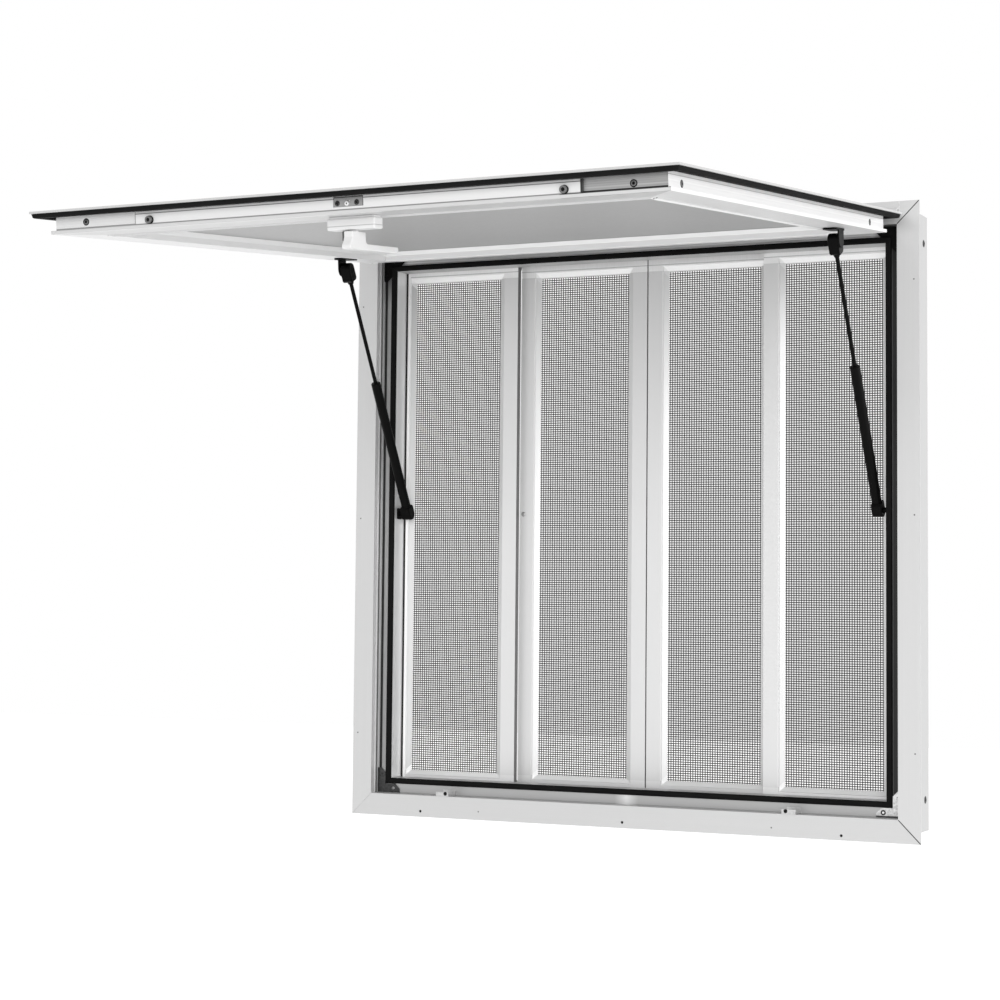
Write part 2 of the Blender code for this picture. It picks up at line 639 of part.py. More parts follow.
def build_lock(steel, white, black):
    # lock housing on the front rail: a neck and the block
    x0 = HOUSING_MIDDLE - HOUSING_HALF
    x1 = HOUSING_MIDDLE + HOUSING_HALF
    n = HOUSING_STEP
    foot = RAIL_DEEP + SEAT_GAP
    top = foot + HOUSING_TALL
    block = prism(rectangle(x0, x1, along(HOUSING_FAR), along(HOUSING_NEAR)),
                  inner(foot + HOUSING_NECK), inner(top), "Y")
    housing = swung("lock_housing", softened(block, HOUSING_ROUND), white)
    neck = prism(rectangle(x0 + n, x1 - n, along(HOUSING_FAR - n), along(HOUSING_NEAR + n)),
                 inner(foot), inner(foot + HOUSING_NECK + 0.5), "Y")
    boolean(housing, swung("neck", neck, white), "UNION")

    # lever: a round boss, a grip block whose butt leans forward, and a flat arm towards the hinge
    base = top + SEAT_GAP
    end = base + HANDLE_TALL
    shoulder = base + BOSS_TALL
    z_far = along(HANDLE_PLACE + HANDLE_HEEL)
    z_butt = along(HANDLE_PLACE + HANDLE_HEEL + HANDLE_FLARE)
    z_near = along(HANDLE_PLACE - HANDLE_BACK)
    z_tip = along(HANDLE_PLACE - HANDLE_REACH)
    lever_y = inner(end - LEVER_THICK)
    outline = [(inner(shoulder), z_far), (inner(shoulder + 7.0), z_far),
               (inner(shoulder + 11.5), z_far - 2.0), (inner(end - 5.5), z_butt + 1.0),
               (inner(end - 1.5), z_butt + 0.2), (inner(end), z_butt + 2.5),
               (inner(end), z_tip - 3.0), (inner(end) - 1.5, z_tip), (lever_y + 1.5, z_tip),
               (lever_y, z_tip - 2.0), (lever_y, z_near + 5.0), (lever_y - 1.5, z_near + 1.5),
               (lever_y - 5.0, z_near), (inner(shoulder), z_near)]
    axis = SWING @ Vector((HANDLE_X, inner(base), along(HANDLE_PLACE)))
    lever = softened(prism(outline, HANDLE_X - HANDLE_HALF, HANDLE_X + HANDLE_HALF, "X"), 1.2, 2, 50.0)
    grip = swung("lock_lever", lever, white, axis)
    tall = BOSS_TALL + 2.0
    boss = turned([(0.0, 0.0), (BOSS_RADIUS - 0.6, 0.0), (BOSS_RADIUS, 0.6),
                   (BOSS_RADIUS, tall), (0.0, tall)], 24)
    place = Matrix.Translation((HANDLE_X, inner(base), along(HANDLE_PLACE)))
    moved(boss, place @ Matrix.Rotation(-pi / 2, 4, "X"))
    boolean(grip, swung("boss", boss, white, axis), "UNION")

    # release tab on the side of the grip, turning with it
    tab_x = HANDLE_X - HANDLE_HALF - SEAT_GAP - RELEASE_HALF
    tab_z = along(HANDLE_PLACE)
    half_long = RELEASE_LONG / 2 - RELEASE_HALF
    tab = (arc(tab_x, tab_z + half_long, RELEASE_HALF, 0.0, 180.0, 8)
           + arc(tab_x, tab_z - half_long, RELEASE_HALF, 180.0, 360.0, 8))
    tab_start = top + RELEASE_DROP
    block = prism(tab, inner(tab_start), inner(tab_start + RELEASE_TALL), "Y")
    swung("lock_release", softened(block, 0.6, 1, 60.0), black, axis)

    # sliding bar on the face of the front rail, with its plate and two bolts
    x = BAR_REST
    half = BAR_LENGTH / 2
    back = along(TRAY_FRONT + SEAT_GAP)
    face = along(TRAY_FRONT + SEAT_GAP + BAR_THICK)
    near = inner(BAR_TOP)
    far = inner(BAR_TOP + BAR_WIDTH)
    notch = inner(BAR_TOP + BAR_NOTCH_DEEP)
    outline = [(x - half, near), (x - BAR_NOTCH_HALF, near), (x - BAR_NOTCH_HALF, notch),
               (x + BAR_NOTCH_HALF, notch), (x + BAR_NOTCH_HALF, near), (x + half, near),
               (x + half, far), (x - half, far)]
    bar_origin = SWING @ Vector((x, inner(BOLT_DROP), face))
    bar = swung("lock_bar", prism(outline, face, back, "Z"), white, bar_origin)
    for sign in (-1, 1):
        bolt = turned([(0.0, -1.0), (BOLT_RADIUS, -1.0), (BOLT_RADIUS, BOLT_TALL - 1.6),
                       (BOLT_HEAD_RADIUS, BOLT_TALL - 1.6), (BOLT_HEAD_RADIUS, BOLT_TALL - 0.5),
                       (BOLT_HEAD_RADIUS - 0.8, BOLT_TALL), (0.0, BOLT_TALL)], 16)
        place = Matrix.Translation((x + sign * BOLT_PLACE, inner(BOLT_DROP), face))
        moved(bolt, place @ Matrix.Rotation(pi, 4, "X"))
        boolean(bar, swung("bolt", bolt, white), "UNION")
    g = SEAT_GAP
    plate = prism(rectangle(x - BAR_NOTCH_HALF + g, x + BAR_NOTCH_HALF - g, near + g, notch - g),
                  back - LOCK_PLATE_WALL, back, "Z")
    plate_node = swung("lock_bar_plate", plate, steel, bar_origin)
    hole = turned([(0.0, -5.0), (2.2, -5.0), (2.2, 5.0), (0.0, 5.0)], 12)
    moved(hole, Matrix.Translation((x, (near + notch) / 2, back - LOCK_PLATE_WALL / 2)))
    boolean(plate_node, swung("hole", hole, steel), "DIFFERENCE")


def build_strikes(steel):
    """Two hooks at the sill that the bolts slide behind when the bar is moved left."""
    floor = BASE_Z + FLANGE_WIDTH + SEAT_GAP
    bolt_front = inner(BOLT_DROP) - BOLT_HEAD_RADIUS - STRIKE_CLEAR
    back = depth(REBATE_DEPTH) - SEAT_GAP
    w = STRIKE_WALL
    outline = [(bolt_front - w, floor), (back, floor), (back, floor + STRIKE_TALL + 2.0),
               (back - w, floor + STRIKE_TALL + 2.0), (back - w, floor + w), (bolt_front, floor + w),
               (bolt_front, floor + STRIKE_TALL), (bolt_front - w, floor + STRIKE_TALL)]
    for name, sign in (("left", -1), ("right", 1)):
        x = BAR_REST - BAR_TRAVEL + sign * BOLT_PLACE
        solid("strike_" + name, prism(outline, x - STRIKE_HALF, x + STRIKE_HALF, "X"), steel)


def build_struts(black):
    low = Vector((0.0, depth(STRUT_BACK), TOP_Z - STRUT_DOWN))
    high_closed = Vector((0.0, inner(STRUT_DROP), along(STRUT_ALONG)))
    high = SWING @ high_closed
    line = low - high
    length = line.length
    closed = (low - high_closed).length
    rod_end = closed - CYLINDER_START - 3.0 - ROD_END_PLAY
    turn = Matrix.Rotation(-atan2(line.y, line.z), 4, "X")
    gland = length - closed + ROD_OUT
    foot = length - CYLINDER_START
    for name, sign in (("left", -1), ("right", 1)):
        x = sign * STRUT_X
        spot = Vector((x, high.y, high.z))
        frame = Matrix.Translation(spot) @ turn

        # rod: socket at the awning, rod and piston
        start = STUD_RADIUS + STUD_CLEAR + 1.2
        rod = turned([(0.0, start), (SOCKET_NECK, start), (SOCKET_NECK, SOCKET_NECK_END - 3.0),
                      (ROD_RADIUS + 0.8, SOCKET_NECK_END), (ROD_RADIUS, SOCKET_NECK_END),
                      (ROD_RADIUS, rod_end - PISTON_LENGTH),
                      (CYLINDER_BORE - PISTON_CLEAR, rod_end - PISTON_LENGTH),
                      (CYLINDER_BORE - PISTON_CLEAR, rod_end), (0.0, rod_end)], 20)
        rod_node = solid("strut_rod_" + name, moved(rod, frame), black, spot)
        boolean(rod_node, solid("socket", moved(socket_block(sign, True), frame), black, spot), "UNION")
        boolean(rod_node, solid("bore", moved(socket_bore(sign), frame), black, spot), "DIFFERENCE")

        # cylinder: gland, tube, foot and socket at the frame
        tube = turned([(ROD_RADIUS + GLAND_CLEAR, gland), (CYLINDER_RADIUS - 1.2, gland),
                       (CYLINDER_RADIUS, gland + 1.2), (CYLINDER_RADIUS, foot - 1.2),
                       (CYLINDER_RADIUS - 1.2, foot), (SOCKET_NECK, foot), (SOCKET_NECK, length - 3.0),
                       (0.0, length - 3.0), (0.0, foot - 3.0), (CYLINDER_BORE, foot - 3.0),
                       (CYLINDER_BORE, gland + GLAND_LENGTH),
                       (ROD_RADIUS + GLAND_CLEAR, gland + GLAND_LENGTH)], 20)
        low_spot = Vector((x, low.y, low.z))
        tube_node = solid("strut_cylinder_" + name, moved(tube, frame), black, low_spot)
        low_frame = Matrix.Translation(low_spot) @ turn @ Matrix.Rotation(pi, 4, "X")
        lower = moved(socket_block(sign, False), low_frame)
        boolean(tube_node, solid("socket", lower, black, low_spot), "UNION")

        build_stud_plate(name, sign, low, black)
        build_tab(name, sign, high_closed, black)


def socket_block(sign, bored):
    """A chunky socket across the strut, with a blind bore for the stud where it turns on it."""
    w = SOCKET_WIDE
    c = SOCKET_CUT
    far = SOCKET_LONG if bored else CYLINDER_START + 0.5
    round_end = arc(0.0, 0.0, SOCKET_END, 205.0, 335.0, 8)
    side = [(w, 0.0), (w, far - c), (w - c, far), (-w + c, far), (-w, far - c), (-w, 0.0)]
    block = prism(round_end + side, -SOCKET_HALF, SOCKET_HALF, "X")
    bmesh.ops.recalc_face_normals(block, faces=block.faces)
    outer = [edge for edge in block.edges
             if all(vert.co.x * sign < 0.0 for vert in edge.verts)]
    bmesh.ops.bevel(block, geom=outer, offset=2.0, segments=2, profile=0.5,
                    affect="EDGES", clamp_overlap=True)
    return block


def socket_bore(sign):
    """The blind bore of the upper socket, open towards the tab."""
    bore = STUD_RADIUS + STUD_CLEAR
    floor = SOCKET_HALF - STUD_IN_SOCKET - STUD_CLEAR
    profile = [(0.0, floor), (bore, floor), (bore, SOCKET_HALF + 2.0), (0.0, SOCKET_HALF + 2.0)]
    return moved(turned(profile, 20), Matrix.Rotation(sign * pi / 2, 4, "Y"))


def build_stud_plate(name, sign, low, steel):
    """Plate and stud on the reveal of the jamb, at the foot of a strut."""
    wall = HALF_X - OPENING_INSET - SEAT_GAP
    half = STUD_PLATE_TALL / 2
    wide = STUD_PLATE_WIDE / 2
    outline = chamfered(low.y - wide, low.y + wide, low.z - half, low.z + half, 2.0)
    a, b = sorted((sign * wall, sign * (wall - STUD_PLATE)))
    node = solid("strut_stud_" + name, prism(outline, a, b, "X"), steel)
    reach = wall - STUD_PLATE + 0.5 - (STRUT_X + SOCKET_HALF + STUD_CLEAR)
    stud = turned([(0.0, 0.0), (STUD_RADIUS, 0.0), (STUD_RADIUS, reach), (0.0, reach)], 16)
    start = Matrix.Translation((sign * (STRUT_X + SOCKET_HALF + STUD_CLEAR), low.y, low.z))
    moved(stud, start @ Matrix.Rotation(sign * pi / 2, 4, "Y"))
    boolean(node, solid("stud", stud, steel), "UNION")


def build_tab(name, sign, high, steel):
    """Foot plate under the side rail, with a tab and a stud for the head of a strut."""
    face = inner(RAIL_DEEP + SEAT_GAP)
    inside = STRUT_X + SOCKET_HALF + STUD_CLEAR
    x_far = inside + TAB_WALL
    x_near = TRAY_SPAN_X / 2 - RAIL_WIDTH + RAIL_BEAD_WIDTH + TAB_FOOT_CLEAR
    a, b = sorted((sign * x_near, sign * x_far))
    outline = chamfered(a, b, high.z - TAB_FOOT_FRONT, high.z + TAB_FOOT_REAR, 3.0)
    node = swung("strut_tab_" + name, prism(outline, face, face + TAB_FOOT_WALL, "Y"), steel)
    a, b = sorted((sign * inside, sign * x_far))
    plate = [(face + 1.0, high.z - TAB_HALF), (high.y, high.z - TAB_HALF)]
    plate += arc(high.y, high.z, TAB_HALF, -90.0, 90.0, 8)[1:-1]
    plate += [(high.y, high.z + TAB_HALF), (face + 1.0, high.z + TAB_HALF)]
    boolean(node, swung("tab", prism(plate, a, b, "X"), steel), "UNION")
    reach = STUD_IN_SOCKET + STUD_CLEAR + 0.8
    stud = turned([(0.0, 0.0), (STUD_RADIUS, 0.0), (STUD_RADIUS, reach), (0.0, reach)], 16)
    start = Matrix.Translation((sign * (STRUT_X + SOCKET_HALF - STUD_IN_SOCKET), high.y, high.z))
    moved(stud, start @ Matrix.Rotation(sign * pi / 2, 4, "Y"))
    boolean(node, swung("stud", stud, steel), "UNION")


def main():
    for item in list(bpy.data.objects):
        bpy.data.objects.remove(item)
    frame_alloy = material("frame_alloy", (0.72, 0.72, 0.73), 0.9, 0.42)
    liner_alloy = material("liner_alloy", (0.70, 0.70, 0.71), 0.9, 0.45)
    screen_alloy = material("screen_alloy", (0.74, 0.74, 0.75), 0.8, 0.45)
    net = material("screen_net", (0.22, 0.22, 0.23), 0.1, 0.7)
    black_rubber = material("black_rubber", (0.012, 0.012, 0.013), 0.0, 0.75)
    skin_paint = material("awning_skin_paint", (0.80, 0.80, 0.80), 0.2, 0.4)
    rail_alloy = material("rail_alloy", (0.74, 0.74, 0.74), 0.9, 0.4)
    panel_paint = material("inner_panel_paint", (0.42, 0.42, 0.43), 0.1, 0.5)
    zinc = material("zinc_steel", (0.52, 0.52, 0.53), 1.0, 0.38)
    white = material("white_coating", (0.84, 0.84, 0.84), 0.1, 0.38)
    strut_black = material("strut_black", (0.014, 0.014, 0.015), 0.3, 0.4)
    build_frame(frame_alloy)
    build_liner(liner_alloy)
    build_seal(black_rubber)
    build_corner_brackets(zinc)
    build_screens(screen_alloy, net, zinc)
    build_skin(skin_paint)
    build_gasket(black_rubber)
    build_tray(rail_alloy, panel_paint)
    build_hinge(rail_alloy)
    build_lock(zinc, white, strut_black)
    build_strikes(zinc)
    build_struts(strut_black)


main()
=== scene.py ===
import bpy
import bmesh
import math
import numpy as np
from mathutils import Matrix, Vector


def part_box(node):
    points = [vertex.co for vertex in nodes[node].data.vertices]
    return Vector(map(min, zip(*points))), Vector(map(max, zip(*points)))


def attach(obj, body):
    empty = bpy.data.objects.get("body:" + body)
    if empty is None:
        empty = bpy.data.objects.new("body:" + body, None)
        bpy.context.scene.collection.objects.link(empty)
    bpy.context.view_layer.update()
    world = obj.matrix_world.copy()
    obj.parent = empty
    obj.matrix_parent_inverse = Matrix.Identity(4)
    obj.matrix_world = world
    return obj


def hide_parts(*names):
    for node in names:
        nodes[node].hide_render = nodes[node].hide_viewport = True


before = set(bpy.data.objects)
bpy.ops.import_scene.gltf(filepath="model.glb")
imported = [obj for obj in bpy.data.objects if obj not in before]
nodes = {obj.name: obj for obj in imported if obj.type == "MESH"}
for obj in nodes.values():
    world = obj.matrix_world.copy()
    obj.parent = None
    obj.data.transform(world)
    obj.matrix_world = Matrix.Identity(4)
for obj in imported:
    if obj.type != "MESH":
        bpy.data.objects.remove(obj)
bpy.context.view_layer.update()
mm = 0.001
print("frame loaded:", len(nodes), "nodes")

# places on the open awning: across, depth behind the skin's inner face, distance down from its top edge
awning = {"swing": -85.0, "hingeY": -18.0, "hingeZ": 914.5, "skinY": -14.0, "skinTop": 909.5,
          "frontFace": 869.0, "sideFace": 426.0, "plateFace": 871.5, "barFace": 873.0, "boltFace": 878.0}
swingAngle = math.radians(awning["swing"])
inward = np.array([0.0, math.cos(swingAngle), math.sin(swingAngle)])       # behind the skin
outward = np.array([0.0, math.sin(swingAngle), -math.cos(swingAngle)])     # away from the hinge
rightward = np.array([1.0, 0.0, 0.0])

# camera, light and floor
studio = {
    "lens": 84.95,
    "yaw": 26.0707,
    "pitch": 3.9791,
    "roll": 0.5656,
    "place": (1.4133, -3.3676, 0.3448),
    "shift": (0.01268, -0.06749),
    "worldLevel": 0.85,
    "floorHeight": -0.75,
    "floorSize": 14.0,
    "floorGlow": 0.30,
    "floorSeenGlow": 0.15,
    "lamps": {
        "frontLight": ((3.6, -7.2, 1.8), 3.2, 230.0),
        "sideLight": ((3.6, 0.5, 0.6), 1.6, 46.0),
    },
}


def makeCamera(s):
    yaw, pitch, roll = (math.radians(s[k]) for k in ("yaw", "pitch", "roll"))
    right = Vector((math.cos(yaw), math.sin(yaw), 0.0))
    ahead = Vector((-math.sin(yaw) * math.cos(pitch), math.cos(yaw) * math.cos(pitch), math.sin(pitch)))
    up = right.cross(ahead)
    tiltedRight = right * math.cos(roll) + up * math.sin(roll)
    tiltedUp = up * math.cos(roll) - right * math.sin(roll)
    data = bpy.data.cameras.new("photoCamera")
    data.sensor_width = 36.0
    data.lens = s["lens"]
    data.shift_x, data.shift_y = s["shift"]
    data.clip_end = 60.0
    camera = bpy.data.objects.new("photoCamera", data)
    turn = Matrix((tiltedRight, tiltedUp, -ahead)).transposed()
    camera.matrix_world = Matrix.Translation(s["place"]) @ turn.to_4x4()
    bpy.context.scene.collection.objects.link(camera)
    bpy.context.scene.camera = camera


class Wire:
    # an output of a node; arithmetic on it adds Math nodes

    def __init__(self, paint, socket):
        self.paint = paint
        self.socket = socket

    def maths(self, operation, *others, flipped=False):
        node = self.paint.tree.nodes.new("ShaderNodeMath")
        node.operation = operation
        values = [self, *others]
        if flipped:
            values.reverse()
        for i, value in enumerate(values):
            self.paint.plug(node.inputs[i], value)
        return Wire(self.paint, node.outputs[0])

    def __add__(self, other):
        return self.maths("ADD", other)

    def __radd__(self, other):
        return self.maths("ADD", other, flipped=True)

    def __sub__(self, other):
        return self.maths("SUBTRACT", other)

    def __rsub__(self, other):
        return self.maths("SUBTRACT", other, flipped=True)

    def __mul__(self, other):
        return self.maths("MULTIPLY", other)

    def __rmul__(self, other):
        return self.maths("MULTIPLY", other, flipped=True)

    def __truediv__(self, other):
        return self.maths("DIVIDE", other)

    def held(self):
        # kept between 0 and 1
        return self.maths("MINIMUM", 1.0).maths("MAXIMUM", 0.0)

    def between(self, low, high, soft=0.0004):
        # 1 from low to high, with soft edges
        return ((self - low) / soft + 0.5).held() * ((high - self) / soft + 0.5).held()


class Paint:
    # a material or the world while it is made

    def __init__(self, owner):
        self.owner = owner
        owner.use_nodes = True
        self.tree = owner.node_tree

    def plug(self, socket, value):
        if isinstance(value, Wire):
            self.tree.links.new(value.socket, socket)
        elif value is not None:
            socket.default_value = value

    def add(self, kind, out=0, settings=None, **values):
        # any node: its settings come first, then values or links by socket name
        node = self.tree.nodes.new("ShaderNode" + kind)
        for name, value in (settings or {}).items():
            if name == "stops":
                ramp = node.color_ramp
                while len(ramp.elements) < len(value):
                    ramp.elements.new(0.5)
                for element, (place, tone) in zip(ramp.elements, value):
                    element.position = place
                    element.color = (tone, tone, tone, 1.0)
            else:
                setattr(node, name, value)
        for name, value in values.items():
            self.plug(node.inputs[name.replace("_", " ")], value)
        return Wire(self, node.outputs[out])

    def place(self, stretch=(1.0, 1.0, 1.0)):
        return self.add("Mapping", Vector=self.add("TexCoord", out=3), Scale=stretch)

    def parts(self, vector):
        node = self.tree.nodes.new("ShaderNodeSeparateXYZ")
        self.plug(node.inputs[0], vector)
        return [Wire(self, out) for out in node.outputs]

    def axes(self):
        return self.parts(self.add("TexCoord", out=3))

    def awningAxes(self):
        # across, depth behind the skin and distance down from its top edge, in metres
        x, y, z = self.axes()
        fromY = y - awning["hingeY"] * mm
        fromZ = z - awning["hingeZ"] * mm
        deep = fromY * inward[1] + fromZ * inward[2] - (awning["skinY"] - awning["hingeY"]) * mm
        down = fromY * outward[1] + fromZ * outward[2] - (awning["hingeZ"] - awning["skinTop"]) * mm
        return x, deep, down

    def noise(self, stretch, scale, detail, rough=0.5):
        return self.add("TexNoise", Vector=self.place(stretch), Scale=scale, Detail=detail, Roughness=rough)

    def tint(self, low, high, factor):
        node = self.tree.nodes.new("ShaderNodeMix")
        node.data_type = "RGBA"
        for i, value in ((0, factor), (6, low), (7, high)):
            if isinstance(value, tuple):
                value = (*value[:3], 1.0)
            self.plug(node.inputs[i], value)
        return Wire(self, node.outputs[2])


def newPaint(name):
    paint = Paint(bpy.data.materials.new(name))
    paint.shader = paint.tree.nodes["Principled BSDF"]
    return paint


def finishPaint(paint, colour, rough, bump=None, bumpDepth=0.00005, bumpStrength=0.4, **fixed):
    shader = paint.shader
    paint.plug(shader.inputs["Base Color"], colour)
    paint.plug(shader.inputs["Roughness"], rough)
    for name, value in fixed.items():
        shader.inputs[name.replace("_", " ")].default_value = value
    if bump is not None:
        normal = paint.add("Bump", Height=bump, Strength=bumpStrength, Distance=bumpDepth)
        paint.plug(shader.inputs["Normal"], normal)
    return paint.owner


def shade(level):
    return (level, level, level)


alongStretch = {"x": (3.0, 900.0, 900.0), "y": (900.0, 3.0, 900.0), "z": (900.0, 900.0, 3.0)}


def withMarks(paint, colour, marks, lines=None):
    # each mark is a mask and the tone it brings
    for mask, tone in marks(paint, lines) if marks else ():
        colour = paint.tint(colour, tone, mask)
    return colour


def anodised(name, along, level, rough=0.42, metallic=0.55, streak=0.05, marks=None):
    # extruded alloy: fine draw lines along the profile and faint clouding
    paint = newPaint(name)
    lines = paint.add("TexNoise", Vector=paint.place(alongStretch[along]), Scale=1.0, Detail=4.0,
                      Roughness=0.65)
    cloud = paint.noise((1.0, 1.0, 1.0), 9.0, 3.0)
    mixed = (lines - 0.5) * (2.0 * streak / 0.3) + (cloud - 0.5) * 0.10 + 0.5
    colour = paint.tint(shade(level * 0.88), shade(min(level * 1.10, 0.95)), mixed)
    colour = withMarks(paint, colour, marks, lines)
    return finishPaint(paint, colour, lines * 0.16 + (rough - 0.08), lines, 0.00004, 0.25, Metallic=metallic)


# marks on the finishes, mostly painted light and shade: places in metres, each from and to, and shades
rebate = {"wall": 0.436, "grooveFloor": 0.4405, "seat": 0.0226, "lip": (-0.0012, 0.0128),
          "rib": (0.0096, 0.0128), "groove": (0.0142, 0.0190), "corner": (0.0198, 0.0222),
          "sleeve": (0.4560, 0.4600), "sleeveDepth": (0.004, 0.100)}


def jambMarks(paint, lines):
    # painted shade on the outside of the sleeve; on the wall of the rebate, painted highlights on the lip, rib
    # and corner and painted shade in the groove
    x, y, z = paint.axes()
    side = x.maths("ABSOLUTE")
    wall = side.between(rebate["wall"] - 0.0005, rebate["grooveFloor"])
    sleeve = side.between(*rebate["sleeve"]) * y.between(*rebate["sleeveDepth"])
    return [(sleeve, shade(0.53)), (wall * y.between(*rebate["lip"]), shade(0.88)),
            (wall * y.between(*rebate["rib"]), shade(0.97)),
            (wall * y.between(*rebate["groove"]), shade(0.02)),
            (wall * y.between(*rebate["corner"]), shade(0.90))]


def seatOf(y):
    return y.between(rebate["seat"] - 0.0004, rebate["seat"] + 0.0008)


jambSeat = {"besideSeal": (0.4205, 0.4228), "outerStrip": (0.4298, 0.4370), "leftGroove": (0.4296, 0.4340),
            "blackAbove": 0.82, "stripBelow": 0.75}


def linerJambMarks(paint, lines):
    # painted shade on the seat beside the seal: dark on the right, grey with a dark line on the left, and
    # black at the top under the awning
    x, y, z = paint.axes()
    side = x.maths("ABSOLUTE")
    right = x.maths("GREATER_THAN", 0.0)
    seat = seatOf(y)
    high = ((z - jambSeat["blackAbove"]) * 16.0).held()
    low = ((jambSeat["stripBelow"] - z) * 2.2).held()
    strip = seat * right * side.between(*jambSeat["outerStrip"])
    return [(seat, paint.tint(shade(0.34), shade(0.020), right)),
            (seat * right * side.between(*jambSeat["besideSeal"]), shade(0.075)),
            (strip, paint.tint(shade(0.06), shade(0.20), low)),
            (seat * (1.0 - right) * side.between(*jambSeat["leftGroove"]), shade(0.02)),
            (seat * high, shade(0.006))]


sillSeat = {"foot": (0.0270, 0.0283), "patch": (-0.011, 0.010), "patchSoftness": 0.018,
            "patchHeight": (0.020, 0.043)}


def sillMarks(paint, lines):
    # seat of the sill: painted shade in a dark line at its foot and one soft painted reflection as a bright
    # patch
    x, y, z = paint.axes()
    seat = seatOf(y)
    patch = x.between(*sillSeat["patch"], sillSeat["patchSoftness"]) * z.between(*sillSeat["patchHeight"])
    return [(seat * z.between(*sillSeat["foot"]), shade(0.24)), (seat * patch, shade(0.75))]


headSeat = {"blackBeyond": 0.392}


def headMarks(paint, lines):
    # seat of the head: streaked along its draw lines in painted reflection and shade, and black with painted
    # shade at both ends
    x, y, z = paint.axes()
    streaks = paint.tint(shade(0.40), shade(0.95), (lines - 0.5) * 3.0 + 0.5)
    ends = ((x.maths("ABSOLUTE") - headSeat["blackBeyond"]) * 60.0).held()
    return [(seatOf(y), streaks), (seatOf(y) * ends, shade(0.006))]


headWall = {"height": (0.8950, 0.9004), "depth": (-0.0012, 0.0300), "frontEdge": (-0.0012, 0.0012),
            "back": (0.0130, 0.0300)}


def ceilingMarks(paint, lines):
    # rebate wall of the head, shaded by the awning
    x, y, z = paint.axes()
    ceiling = z.between(*headWall["height"]) * y.between(*headWall["depth"])
    return [(ceiling, shade(0.16)), (ceiling * y.between(*headWall["frontEdge"]), shade(0.02)),
            (ceiling * y.between(*headWall["back"]), shade(0.02))]


screenLook = {"stile": 0.0245, "bead": (0.0250, 0.0336), "beadLine": (0.0238, 0.0252),
              "beadHeight": (0.0625, 0.8585), "lineHeight": (0.0620, 0.8590), "topRail": (0.8600, 0.9000),
              "topLine": (0.8690, 0.8702), "bottomRail": (0.0300, 0.0610), "gap": (-0.4130, -0.4094),
              "gapEdge": (-0.4094, -0.4052), "outerEdge": (-0.2096, -0.2084), "outerDepth": (0.0566, 0.0690),
              "beadShade": {"outer_left": 0.48, "inner_left": 0.62, "inner_right": 0.62, "outer_right": 0.60}}


def screenMarks(paint, lines):
    # painted light and shade: each screen's left bead is a little darker in painted shade, up to its mitres,
    # with a painted highlight line beside it; the rails above and below lightened with painted light, with a
    # dark line on the top rail; painted shade in the gap beside the reveal with a painted highlight at its
    # edge, and a dark line at the edge of the outer left screen
    x, y, z = paint.axes()
    look = screenLook
    foot, top = look["beadHeight"]
    marks = [(z.between(*look["topRail"]), paint.tint(shade(0.80), shade(0.95), lines)),
             (z.between(*look["topLine"]), shade(0.50)), (z.between(*look["bottomRail"]), shade(0.76))]
    for place, tone in look["beadShade"].items():
        fromEdge = x - float(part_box("screen_frame_" + place)[0][0])
        mitre = fromEdge - look["stile"]
        bead = fromEdge.between(*look["bead"]) * (z - mitre).between(foot, 1.0) * (z + mitre).between(0.0, top)
        line = fromEdge.between(*look["beadLine"]) * z.between(*look["lineHeight"])
        marks += [(bead, shade(tone)), (line, shade(0.9))]
    return marks + [(x.between(*look["gap"]), shade(0.02)), (x.between(*look["gapEdge"]), shade(0.9)),
                    (x.between(*look["outerEdge"]) * y.between(*look["outerDepth"]), shade(0.15))]


# on the awning's pieces: across, deep behind the skin, down from its top edge
frontRail = {"face": (0.8675, 0.872), "reflectionFrom": 0.291, "faceLine": (0.0196, 0.0225),
             "lip": (0.8725, 0.876), "lipLine": (0.0205, 0.0226)}


def frontRailMarks(paint, lines):
    # the face lightened with painted light, and past the end of the bar, also where the bar slides off it,
    # streaked along its draw lines with a painted dark reflection; painted shade in lines above and along its
    # lip
    across, deep, down = paint.awningAxes()
    face, lip = down.between(*frontRail["face"]), down.between(*frontRail["lip"])
    # painted dark reflection on the face past the end of the bar
    darkReflection = ((across - frontRail["reflectionFrom"]) * 400.0).held()
    brushedReflection = paint.tint(shade(0.28), shade(0.50), (lines - 0.5) * 2.2 + 0.5)
    faceLine = face * deep.between(*frontRail["faceLine"])
    lipLine = lip * deep.between(*frontRail["lipLine"])
    return [(face, paint.tint(shade(0.70), shade(0.84), lines)), (face * darkReflection, brushedReflection),
            (faceLine, paint.tint(shade(0.33), shade(0.02), darkReflection)),
            (lipLine, paint.tint(shade(0.5), shade(0.04), darkReflection))]


rearRail = {"slope": (0.0141, 0.0192), "panelLine": (0.0126, 0.0141), "slotAcross": (0.3865, 0.3945),
            "slotDown": (0.0572, 0.0590)}


def rearRailMarks(paint, lines):
    # painted light on the sloped bead, a dark line where it meets the panel, and a short slot drawn in painted
    # shade
    across, deep, down = paint.awningAxes()
    slot = across.between(*rearRail["slotAcross"]) * down.between(*rearRail["slotDown"])
    return [(deep.between(*rearRail["slope"]), shade(0.80)),
            (deep.between(*rearRail["panelLine"]), shade(0.36)), (slot, shade(0.03))]


sideRail = {"outside": (0.4254, 0.4300), "underside": (0.0259, 0.0300), "nearSkin": (0.0, 0.0105),
            "middle": (0.0105, 0.0135), "skinLine": (0.0058, 0.0068), "lip": (0.3900, 0.4300),
            "lipLine": (0.3835, 0.3875), "notchAcross": (0.3765, 0.3855), "notchDown": (0.8000, 0.8035)}


